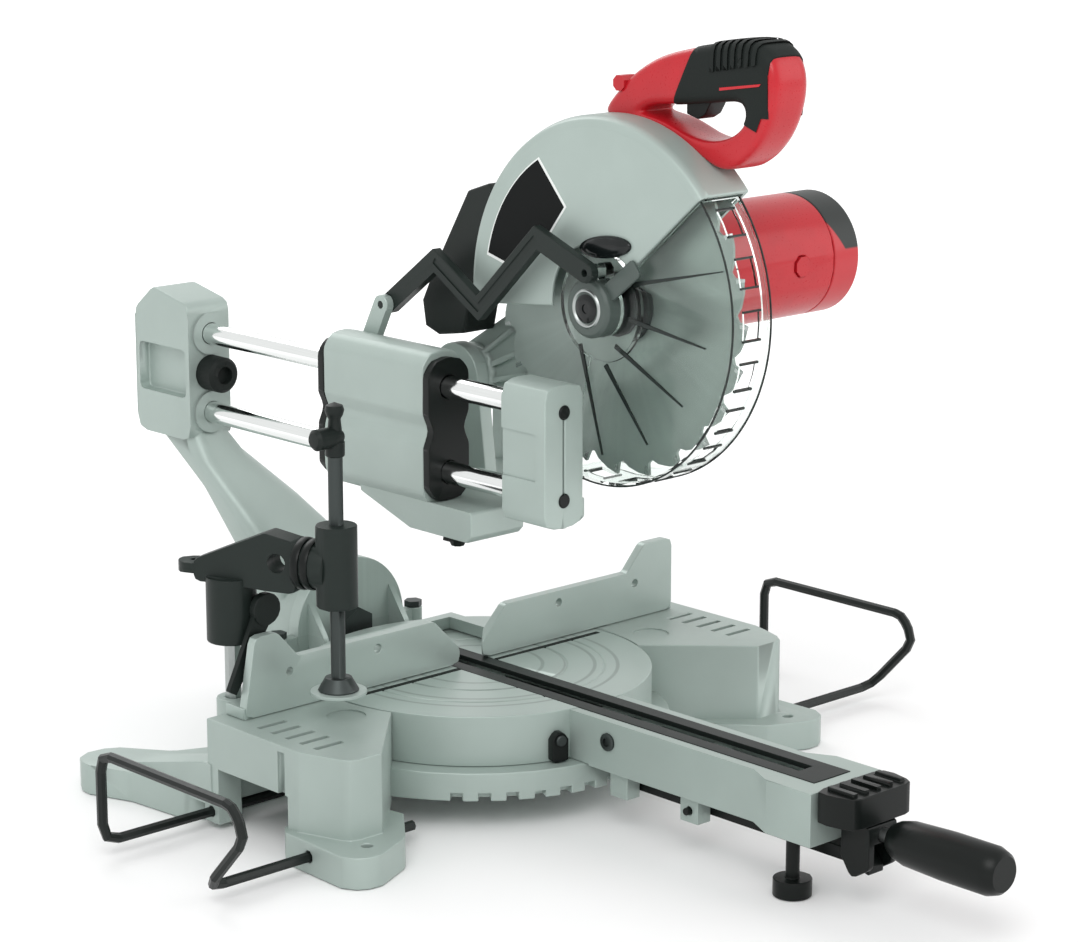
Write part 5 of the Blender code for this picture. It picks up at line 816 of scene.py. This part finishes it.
class SAW_OT_table(SawOperator):
    """Table, fence and the strips let into the table"""

    bl_idname = "saw.table"
    bl_label = "Table and fence"

    def execute(self, context):
        edge = self.sizes.casting_edge * 0.6
        dress("turntable", "table", edge, [("Z", TABLE, 0.13), ("Y", BEVEL, 0.03)])
        dress("fence", "machined", edge)
        dress("kerf_plate", "plastic", edge * 0.6)
        for node in ("wear_strip_left", "wear_strip_right"):
            paint_node(node, "rubber")
        for node in ("arm_end_cap", "mitre_lock_body"):
            dress(node, "black", self.sizes.plastic_edge)
        self.pointer()
        arm_screw = socket_screw(at(*ARM_SCREW), "X", ARM_SCREW_RADIUS, ARM_SCREW_HEIGHT)
        settle("arm_screw", arm_screw, "fastener", BODY["turntable"], SLOT["stop_bolt_left"])
        for node in ("stop_bolt_left", "stop_bolt_right", "bevel_bolt", "mitre_pivot_bolt"):
            paint_node(node, "fastener")
        return {"FINISHED"}

    def pointer(self):
        """Dark bracket of the mitre pointer, and its screw."""
        turn = (Matrix.Translation(TABLE) @ Matrix.Rotation(POINTER_TURN, 4, "Z")
                @ Matrix.Translation(-TABLE))
        outline = [(TABLE.x + POINTER_HALF_WIDTH * wide, POINTER_HEIGHT + POINTER_HALF_HEIGHT * high)
                   for wide, high in POINTER_SHARES]
        bracket = plate(outline, "Y", TABLE.y + POINTER_FRONT, TABLE.y + POINTER_REAR)
        stand_in("pointer_bracket", moved(bracket, turn), "black", "mitre_pointer", edge=POINTER_EDGE)
        facing = Matrix.Translation(at(0, 0, POINTER_SCREW_HEIGHT)) @ Matrix.Rotation(math.pi, 4, "Z")
        screw = moved(spun(POINTER_SCREW, "Y", ORIGIN, 20), turn @ facing)
        added("pointer_screw", screw, "fastener", "mitre_pointer")


# Screws in the rails' ends, as radius and depth behind the end cap's front face
CAP_SCREW = ((0, -0.0012), (0.0046, -0.0012), (0.0054, -0.0004), (0.0054, 0.002), (0, 0.002))


class SAW_OT_rails(SawOperator):
    """Polished rails with eased ends, their bushes and seals"""

    bl_idname = "saw.rails"
    bl_label = "Rails"

    def execute(self, context):
        for node in RAILS:
            low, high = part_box(node)
            radius = (high.x - low.x) / 2
            chamfer = radius / 8
            profile = ((0, low.y), (radius - chamfer, low.y), (radius, low.y + chamfer),
                       (radius, high.y - chamfer), (radius - chamfer, high.y), (0, high.y))
            stand_in(node + "_polished", spun(profile, "Y", rail_axis(node), 64), "chrome", node)
        for node in ("seal_plate_front", "seal_plate_rear"):
            dress(node, "black", self.sizes.plastic_edge, rail_circles())
        for node in ("slide_bush_upper", "slide_bush_lower", "pivot_pin"):
            paint_node(node, "steel")
        screw = shifted(CAP_SCREW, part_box("rail_end_cap")[0].y)
        bm = bmesh.new()
        for node in RAILS:
            spun(screw, "Y", rail_axis(node), 24, bm)
        added("cap_screws", bm, "black", "rail_end_cap")
        dress("rail_bumper", "rubber", 0.0, [("Y", middle("rail_bumper"), 0.005)])
        return {"FINISHED"}


# Hard tips: shares of their length inward from the rim and ahead of the tooth's face, and their width
# as a share of the blade's
TEETH = 24
TIP_SHARES = ((0, 0), (1, -0.12), (1, 0.32), (0.08, 0.36))
TIP_WIDTH_SHARE = 1.15


class SAW_OT_blade(SawOperator):
    """Toothed disc with its hard tips"""

    bl_idname = "saw.blade"
    bl_label = "Blade"

    def execute(self, context):
        dress("saw_blade", "blade", 0.0)
        low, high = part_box("saw_blade")
        radius = (high.z - low.z) / 2
        middle_x = middle("saw_blade").x
        half = (high.x - low.x) / 2 * TIP_WIDTH_SHARE
        length = self.sizes.tip_length
        tip = [Vector((radius - length * inward, length * ahead)) for inward, ahead in TIP_SHARES]
        bm = bmesh.new()
        for i in range(TEETH):
            turn = Matrix.Rotation(2 * math.pi * i / TEETH, 2)
            plate([turn @ point + BLADE.yz for point in tip], "X", middle_x - half, middle_x + half, bm)
        added("tooth_tips", bm, "tip", "saw_blade")
        dress("arbor_bolt", "fastener", 0.0003)
        paint_node("spindle", "steel")
        return {"FINISHED"}


# Ends of the moulded ribs on the clear guard, counted from the blade's axis in its own plane
GUARD_RIBS = (((-0.0264, 0.0185), (-0.1218, 0.0403)), ((-0.0287, -0.0052), (-0.1064, -0.0161)),
              ((-0.0165, -0.0266), (-0.0846, -0.0608)), ((-0.0064, -0.0420), (-0.0499, -0.0942)),
              ((0.0200, -0.0300), (-0.0036, -0.1093)))

# Clear guard: its two walls, its rim, and the stretch of the rim that has rungs
GUARD_LEFT = -0.020
GUARD_RIGHT = 0.019
RIM = 0.132
RIM_START = math.radians(139)
RIM_SWEEP = math.radians(146)
RIM_STEPS = 54

# How far a rib stands out of the left wall, and how deep it is let into it
RIB_OUT = 0.0012
RIB_IN = 0.0002

# How far the rings along the rim go out of their wall, into it, below the rim and above it
RING_OUT = 0.0003
RING_IN = 0.0007
RING_BELOW = 0.0008
RING_ABOVE = 0.0004

# Rungs across the rim: the fields along it, their places in a field, half their angle, their two ends,
# and how far they go below the rim and above it
RUNG_FIELDS = 9
RUNG_SHARES = (0.22, 0.78)
RUNG_HALF = 0.006
RUNG_LEFT = -0.0095
RUNG_RIGHT = 0.0085
RUNG_BELOW = 0.0015
RUNG_ABOVE = 0.0006

# Ring and core on the round cover, as radius and depth behind its left face
HUB_RING = ((0.0125, -0.0009), (0.0135, -0.0009), (0.0145, 0), (0.0145, 0.001), (0.0115, 0.001),
            (0.0115, 0), (0.0125, -0.0009))
HUB_CORE = ((0, -0.0002), (0.0035, -0.0002), (0.0035, -0.001), (0.0085, -0.0014), (0.0105, -0.0004),
            (0.0105, 0.001), (0, 0.001))

# Catch above the cover: its domed profile in shares of its half sizes, the half sizes, its place from
# the hub and its tilt
CATCH_SHARES = ((0, -1), (0.5, -0.93), (0.78, -0.72), (0.84, -0.5), (0.97, -0.42), (1, -0.2), (1, 1),
                (0, 1))
CATCH_SIZE = (0.0034, 0.026, 0.0082)
CATCH_PLACE = Vector((-0.0258, -0.0110, 0.0452))
CATCH_TILT = math.radians(172.5)

# Bare panel on the upper guard, counted from the hub: its seat, how deep it is let in, the radius and
# degrees of its arc, its other corners, and the point towards which the dark field is drawn in
PANEL_FACE = -0.0250
PANEL_IN = 0.0003
PANEL_RADIUS = 0.119
PANEL_ARC = range(12, 62, 4)
PANEL_CORNERS = ((0.0302, 0.0696), (0.0472, 0.0480), (0.092, 0.0185))
PANEL_MIDDLE = Vector((0.080, 0.062))


class SAW_OT_guard(SawOperator):
    """Clear lower guard with its ribs, the round cover, the catch and the bare panel"""

    bl_idname = "saw.guard"
    bl_label = "Lower guard"

    def execute(self, context):
        dress("lower_guard", "clear", 0.0, [("X", BLADE, 0.02)])
        dress("arbor_cover", "hub", self.sizes.plastic_edge, [("X", BLADE, 0.01)])
        self.ribs()
        self.cover()
        self.panel()
        return {"FINISHED"}

    def ribs(self):
        """Wedge-shaped ribs on the guard's left wall, rings and rungs on its rim, dark with painted shade."""
        bm = bmesh.new()
        wall = HUB.x + GUARD_LEFT
        for first, last in GUARD_RIBS:
            start, end = Vector(first), Vector(last)
            side = (end - start).orthogonal().normalized() * self.sizes.rib_width / 2
            outline = (start + side, start - side, end - side / 4, end + side / 4)
            plate([point + HUB.yz for point in outline], "X", wall - RIB_OUT, wall + RIB_IN, bm)
        for x, out in ((GUARD_LEFT, -1), (GUARD_RIGHT, 1)):
            ring = strip(x + out * RING_OUT, x - out * RING_IN, RIM - RING_BELOW, RIM + RING_ABOVE)
            swept(ring, HUB, RIM_START, RIM_START + RIM_SWEEP, RIM_STEPS, bm)
        rung = strip(RUNG_LEFT, RUNG_RIGHT, RIM - RUNG_BELOW, RIM + RUNG_ABOVE)
        for i in range(RUNG_FIELDS):
            for share in RUNG_SHARES:
                angle = RIM_START + RIM_SWEEP / RUNG_FIELDS * (i + share)
                swept(rung, HUB, angle - RUNG_HALF, angle + RUNG_HALF, 1, bm)
        # Their dark finish is painted shade on what is clear moulding
        settle("guard_ribs", bm, "rib", BODY["lower_guard"], SLOT["arbor_cover"])

    def cover(self):
        """Ring and dark core on the round cover, and the dark catch above it."""
        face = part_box("arbor_cover")[0].x
        axis_point = Vector((0, *HUB.yz))
        added("hub_ring", spun(shifted(HUB_RING, face), "X", axis_point), "steel", "arbor_cover")
        added("hub_core", spun(shifted(HUB_CORE, face), "X", axis_point), "gloss_black", "arbor_cover")
        place = Matrix.Translation(HUB + CATCH_PLACE) @ Matrix.Rotation(CATCH_TILT, 4, "X")
        catch = moved(spun(CATCH_SHARES, "X", ORIGIN), place @ Matrix.Diagonal((*CATCH_SIZE, 1)))
        settle("round_catch", catch, "gloss_black", "head", SLOT["arbor_cover"])

    def panel(self):
        """Bare dark panel with a pale border on the upper guard."""
        face = HUB.x + PANEL_FACE
        angles = [math.radians(degrees) for degrees in PANEL_ARC]
        arc = [Vector((math.cos(angle), math.sin(angle))) * PANEL_RADIUS for angle in angles]
        corners = arc + [Vector(corner) for corner in PANEL_CORNERS]
        for name, finish, share, lift in (("panel_border", "label_edge", 1.0, 0.00025),
                                          ("dark_panel", "bare_panel", 0.95, 0.0004)):
            outline = [PANEL_MIDDLE.lerp(corner, share) + HUB.yz for corner in corners]
            bm = plate(outline, "X", face - lift, face + PANEL_IN)
            settle(name, bm, finish, "head", SLOT["arbor_cover"])


# Depth of the motor cap's outer end that its taper draws in, and the rounding of the larger mouldings
CAP_END_DEPTH = 0.006
CAP_EDGE = 0.0012
HOUSING_EDGE = 0.0016
PORT_EDGE = 0.002


class SAW_OT_motor(SawOperator):
    """Red motor housing and its dark end, and the dust port"""

    bl_idname = "saw.motor"
    bl_label = "Motor"

    def execute(self, context):
        centre = middle("motor_cap")
        dress("motor_housing", "red", HOUSING_EDGE, [("X", centre, 0.02)], segments=3)
        cap = round_out(copied("motor_cap"), "X", centre, 0.02)
        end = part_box("motor_cap")[1].x
        for vertex in cap.verts:
            if vertex.co.x > end - CAP_END_DEPTH:
                vertex.co.yz = centre.yz.lerp(vertex.co.yz, self.sizes.motor_taper)
        stand_in("motor_cap_dressed", cap, "motor_end", "motor_cap", edge=CAP_EDGE, segments=3,
                 outward=False)
        for node in ("brush_cap_front", "brush_cap_rear"):
            paint_node(node, "red")
        port = copied("dust_port")
        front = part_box("dust_port")[0].y
        for vertex in port.verts:
            vertex.co.y = front + (vertex.co.y - front) * self.sizes.port_depth
        stand_in("dust_port_dressed", port, "plastic", "dust_port", edge=PORT_EDGE, segments=3,
                 outward=False)
        return {"FINISHED"}


# Stations round the handle, as depth and height of the outer and of the inner skin from the
# turntable's centre
HANDLE_LOOP = (((-0.128, 0.5260), (-0.172, 0.5325)), ((-0.147, 0.5460), (-0.176, 0.5360)),
               ((-0.168, 0.5640), (-0.184, 0.5390)), ((-0.196, 0.5775), (-0.203, 0.5405)),
               ((-0.2425, 0.5855), (-0.240, 0.5450)), ((-0.273, 0.5905), (-0.260, 0.5480)),
               ((-0.293, 0.5875), (-0.270, 0.5470)), ((-0.304, 0.5700), (-0.275, 0.5410)),
               ((-0.302, 0.5460), (-0.274, 0.5330)), ((-0.291, 0.5210), (-0.266, 0.5250)),
               ((-0.269, 0.5010), (-0.250, 0.5190)), ((-0.248, 0.4965), (-0.232, 0.5175)),
               ((-0.222, 0.5150), (-0.214, 0.5215)), ((-0.195, 0.5250), (-0.198, 0.5280)),
               ((-0.160, 0.5305), (-0.184, 0.5305)))

# The cage's spare width on each side as a share of the shell's, which the smoothing takes off again,
# the crease of its rims, and the smoothing's levels
SPARE_SHARE = 0.10
LOOP_CREASE = 0.42
SKIN_LEVELS = 3

# Planes that trim the loop down to the pieces of the grip
COVER_PLANES = (((0, -0.184, 0.5335), (0, -0.044, -0.999)), ((0, -0.2220, 0.575), (0, 0.890, 0.456)),
                ((0, -0.2965, 0.570), (0, -1, 0)))
INSERT_PLANES = (((0, -0.184, 0.5335), (0, 0.044, 0.999)), ((0, -0.2625, 0.5368), (0, 0.322, -0.947)),
                 ((0, -0.2620, 0.535), (0, 1, 0)), ((0, -0.2945, 0.546), (0, -0.915, -0.403)))
RIB_PLANE = ((0, -0.246, 0.5670), (0, -0.169, -0.985))

# How far the grip and its ribs stand out from the loop, and the ribs' first place, pitch and width
GRIP_SWELL = 0.0008
RIB_SWELL = 0.0021
RIB_START = -0.243
RIB_PITCH = 0.0066
RIB_THICKNESS = 0.0036

# Line let into the grip: its side view, and how far it stands out of the grip and goes into it
GRIP_LINE = ((-0.252, 0.5545), (-0.289, 0.5600), (-0.291, 0.5620), (-0.252, 0.5565))
LINE_OUT = 0.0004
LINE_IN = 0.004

# Trigger: its side view, half its width and the rounding of its edges
TRIGGER = ((-0.210, 0.550), (-0.210, 0.5340), (-0.221, 0.5310), (-0.228, 0.5350), (-0.238, 0.551))
TRIGGER_HALF = 0.0085
TRIGGER_EDGE = 0.001


class SAW_OT_handle(SawOperator):
    """Red handle with its ribbed grip and switch"""

    bl_idname = "saw.handle"
    bl_label = "Handle"

    def execute(self, context):
        stand_in("handle_loop", self.skin(), "red", "handle_shell", sharp=SHARP_SKIN)
        cover = trimmed(self.skin(), COVER_PLANES, GRIP_SWELL)
        side = min(vertex.co.x for vertex in cover.verts)
        stand_in("grip_cover", cover, "rubber", "handle_grip", sharp=SHARP_SKIN)
        insert = trimmed(self.skin(), INSERT_PLANES, GRIP_SWELL)
        added("grip_insert", insert, "rubber", "handle_grip", sharp=SHARP_SKIN)
        for i in range(self.sizes.grip_ribs):
            y = RIB_START - i * RIB_PITCH
            planes = (RIB_PLANE, ((0, y, 0), (0, 1, 0)), ((0, y - RIB_THICKNESS, 0), (0, -1, 0)))
            rib = trimmed(self.skin(), planes, RIB_SWELL)
            added(f"grip_rib_{i}", rib, "rubber", "handle_grip", sharp=SHARP_SKIN)
        line = plate(side_view(GRIP_LINE), "X", side - LINE_OUT, side + LINE_IN)
        settle("grip_line", line, "red_line", BODY["handle_grip"], SLOT["handle_shell"])
        middle_x = middle("trigger").x
        trigger = plate(side_view(TRIGGER), "X", middle_x - TRIGGER_HALF, middle_x + TRIGGER_HALF)
        stand_in("trigger_dressed", trigger, "black", "trigger", edge=TRIGGER_EDGE)
        paint_node("lock_off_button", "red")
        return {"FINISHED"}

    def skin(self):
        """Rounded loop of the handle, grown from a coarse cage with creased rims."""
        low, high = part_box("handle_shell")
        width = high.x - low.x
        spare = width * SPARE_SHARE
        bm = bmesh.new()
        crease = bm.edges.layers.float.new("crease_edge")
        for stations in zip(*HANDLE_LOOP):
            points = [bm.verts.new((low.x - spare, *place)) for place in side_view(stations)]
            for i, point in enumerate(points):
                bm.edges.new((points[i - 1], point))[crease] = LOOP_CREASE
        bmesh.ops.bridge_loops(bm, edges=bm.edges[:])
        made = bmesh.ops.extrude_face_region(bm, geom=bm.faces[:])
        bmesh.ops.translate(bm, vec=(width + 2 * spare, 0, 0), verts=vertices_in(made["geom"]))
        bmesh.ops.recalc_face_normals(bm, faces=bm.faces)
        return smoothed(bm, SKIN_LEVELS)


# Rings of the clamp's nut, as radius and distance from the post along the arm, and their height
NUT_RINGS = ((0.013, 0.0605), (0.0192, 0.0605), (0.0197, 0.0617), (0.0197, 0.065), (0.0192, 0.0662),
             (0.0162, 0.0664), (0.0162, 0.0678), (0.0188, 0.068), (0.0193, 0.0692), (0.0193, 0.0722),
             (0.0188, 0.0735), (0.013, 0.0735), (0.013, 0.0605))
NUT_HEIGHT = 0.202

# Cross grip on the clamp's spindle: its stem and its bar, as radius and distance along, and the height
# of the bar on the stem
CROSS_STEM = ((0, 0), (0.0062, 0), (0.0072, 0.001), (0.0072, 0.011), (0.006, 0.0125), (0.0045, 0.028),
              (0.0062, 0.031), (0.0072, 0.0345), (0.0062, 0.038), (0, 0.0405))
CROSS_BAR = ((0, -0.0205), (0.0055, -0.0200), (0.0080, -0.0175), (0.0078, -0.004), (0.0066, 0.003),
             (0.0042, 0.006), (0, 0.0065))
CROSS_BAR_HEIGHT = 0.0145


class SAW_OT_levers(SawOperator):
    """Link, clamp, knobs, levers and feet"""

    bl_idname = "saw.levers"
    bl_label = "Levers and clamp"

    def execute(self, context):
        edge = self.sizes.plastic_edge
        dress("guard_link", "plastic_worn", edge)
        self.clamp(edge)
        dress("mitre_lock_grip", "black", 0.0, [("Y", HINGE["mitre_lock_turn"], 0.006)])
        paint_node("mitre_lock_rod", "steel")
        dress("detent_lever", "black", edge)
        dress("arm_foot", "black", edge, [("Z", middle("arm_foot"), 0.004)])
        dress("bevel_lock_knob", "black", edge, [("Y", HINGE["bevel_lock_turn"], 0.01)])
        dress("slide_lock_knob", "black", edge * 0.5)
        for node in ("extension_wire_left", "extension_wire_right"):
            paint_node(node, "wire")
        return {"FINISHED"}

    def clamp(self, edge):
        """Hold-down clamp: arm, lever, spindle with its pad and cross grip, nut rings and post."""
        rod = middle("clamp_rod")
        post = middle("clamp_post")
        dress("clamp_arm", "plastic_worn", edge * 1.6, [("Z", rod, 0.01), ("Z", post, 0.01)], segments=3)
        dress("clamp_lever", "plastic", edge)
        dress("clamp_rod", "fastener", 0.0, [("Z", rod, 0.003)])
        dress("clamp_pad", "cast", 0.0004, [("Z", rod, 0.01)])
        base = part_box("clamp_handle")[0].z
        grip = spun(shifted(CROSS_STEM, base), "Z", Vector((rod.x, rod.y, 0)))
        spun(CROSS_BAR, "X", Vector((rod.x, rod.y, base + CROSS_BAR_HEIGHT)), bm=grip)
        stand_in("clamp_cross_grip", grip, "plastic", "clamp_handle")
        reach = (rod - post).xy
        turn = Matrix.Rotation(math.atan2(reach.y, reach.x) - math.pi / 2, 4, "Z")
        place = Matrix.Translation((post.x, post.y, NUT_HEIGHT)) @ turn
        rings = moved(spun(NUT_RINGS, "Y", ORIGIN), place)
        added("clamp_nut_rings", rings, "black", "clamp_arm")
        paint_node("clamp_post", "steel")


# Lamps: name, place, size, and power as a share of the key light's; and the point that they face
LAMPS = (("key_light", (-1.9, -1.5, 2.4), 1.8, 1.0), ("fill_light", (1.9, -2.2, 1.5), 2.0, 0.45),
         ("rear_light", (0.6, 2.4, 2.2), 1.6, 0.5))
LAMP_TARGET = Vector((0, 0, 0.25))

# Floor: half its width, its drop under the feet, and the strength and reach of the glow that turns it
# white away from the saw
FLOOR_HALF = 9.0
FLOOR_DROP = 0.0005
GLOW = 0.35
GLOW_FROM = 1.2
GLOW_SOFT = 0.8

# World: its light on surfaces, where what the camera, gloss and glass see of it is 1
WORLD_LIGHT = 0.85

# Camera of the photograph: its place from the turntable's centre, its dip and turn, and its lens in mm
CAMERA_PLACE = Vector((-1.54113, -1.72775, 0.78588))
CAMERA_DIP = 0.23134
CAMERA_TURN = -0.74947
CAMERA_LENS = 102.378
CAMERA_SENSOR = 36.0
CAMERA_REACH = 50.0


class SAW_OT_stage(SawOperator):
    """Pale floor, soft lights and the camera at the photograph's angle"""

    bl_idname = "saw.stage"
    bl_label = "Stage"

    def execute(self, context):
        self.floor()
        for name, place, size, share in LAMPS:
            self.lamp(name, place, size, self.sizes.key_light * share)
        context.scene.world = self.world()
        context.scene.camera = self.camera()
        context.scene.view_settings.view_transform = "Standard"
        return {"FINISHED"}

    def show(self, name, data):
        """Object for some data, in the scene."""
        shown = bpy.data.objects.new(name, data)
        bpy.context.scene.collection.objects.link(shown)
        return shown

    def floor(self):
        """Pale floor that keeps the saw's shadow and turns white further out."""
        desk = Desk("floor")
        radius, _ = desk.polar(TABLE, "Z")
        glow = desk.mix(radius.above(GLOW_FROM, GLOW_SOFT), (0, 0, 0), (1, 1, 1))
        desk.feed(desk.shader.inputs["Emission Color"], glow)
        desk.finish(tuple(self.tones.floor), 0.9, Emission_Strength=GLOW)
        bm = bmesh.new()
        bmesh.ops.create_grid(bm, x_segments=1, y_segments=1, size=FLOOR_HALF)
        mesh = bpy.data.meshes.new("floor")
        bm.to_mesh(mesh)
        bm.free()
        mesh.materials.append(desk.material)
        floor = self.show("floor", mesh)
        floor.location.z = -FLOOR_DROP

    def lamp(self, name, place, size, power):
        """Square area lamp that faces the saw."""
        data = bpy.data.lights.new(name, "AREA")
        data.size = size
        data.energy = power
        lamp = self.show(name, data)
        lamp.location = place
        lamp.rotation_euler = (LAMP_TARGET - Vector(place)).to_track_quat("-Z", "Y").to_euler()

    def world(self):
        """White surroundings, a little dimmer where they light a matt surface."""
        world = bpy.data.worlds.new("studio")
        world.use_nodes = True
        tree = world.node_tree
        paths = tree.nodes.new("ShaderNodeLightPath")
        seen = paths.outputs["Is Camera Ray"]
        for kind in ("Is Glossy Ray", "Is Transmission Ray"):
            either = tree.nodes.new("ShaderNodeMath")
            either.operation = "MAXIMUM"
            tree.links.new(seen, either.inputs[0])
            tree.links.new(paths.outputs[kind], either.inputs[1])
            seen = either.outputs[0]
        level = tree.nodes.new("ShaderNodeMapRange")
        level.inputs["To Min"].default_value = WORLD_LIGHT
        level.inputs["To Max"].default_value = 1.0
        tree.links.new(seen, level.inputs["Value"])
        background = tree.nodes["Background"]
        background.inputs["Color"].default_value = (1, 1, 1, 1)
        tree.links.new(level.outputs["Result"], background.inputs["Strength"])
        return world

    def camera(self):
        """Camera at the place and angle of the photograph's."""
        lens = bpy.data.cameras.new("photo_camera")
        lens.sensor_width = CAMERA_SENSOR
        lens.lens = CAMERA_LENS
        lens.clip_end = CAMERA_REACH
        camera = self.show("photo_camera", lens)
        camera.location = TABLE + CAMERA_PLACE
        camera.rotation_euler = (math.pi / 2 - CAMERA_DIP, 0, CAMERA_TURN)
        return camera


# Panel and registration

STEPS = (SAW_OT_finishes, SAW_OT_castings, SAW_OT_table, SAW_OT_rails, SAW_OT_blade, SAW_OT_guard,
         SAW_OT_motor, SAW_OT_handle, SAW_OT_levers, SAW_OT_stage)


class SAW_PT_panel(bpy.types.Panel):
    """Sidebar panel with the sizes, the colours and the steps"""

    bl_idname = "SAW_PT_panel"
    bl_label = "Mitre saw"
    bl_space_type = "VIEW_3D"
    bl_region_type = "UI"
    bl_category = "Mitre saw"

    def draw(self, context):
        for group in (context.scene.saw_sizes, context.scene.saw_colours):
            for name in group.__annotations__:
                self.layout.prop(group, name)
        for step in STEPS:
            self.layout.operator(step.bl_idname)


CLASSES = (SawSizes, SawColours, *STEPS, SAW_PT_panel)


def register():
    for kind in CLASSES:
        bpy.utils.register_class(kind)
    bpy.types.Scene.saw_sizes = PointerProperty(type=SawSizes)
    bpy.types.Scene.saw_colours = PointerProperty(type=SawColours)


def unregister():
    del bpy.types.Scene.saw_colours
    del bpy.types.Scene.saw_sizes
    for kind in reversed(CLASSES):
        bpy.utils.unregister_class(kind)


def main():
    register()
    for step in STEPS:
        group, name = step.bl_idname.split(".")
        getattr(getattr(bpy.ops, group), name)()
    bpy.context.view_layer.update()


if __name__ == "__main__":
    main()
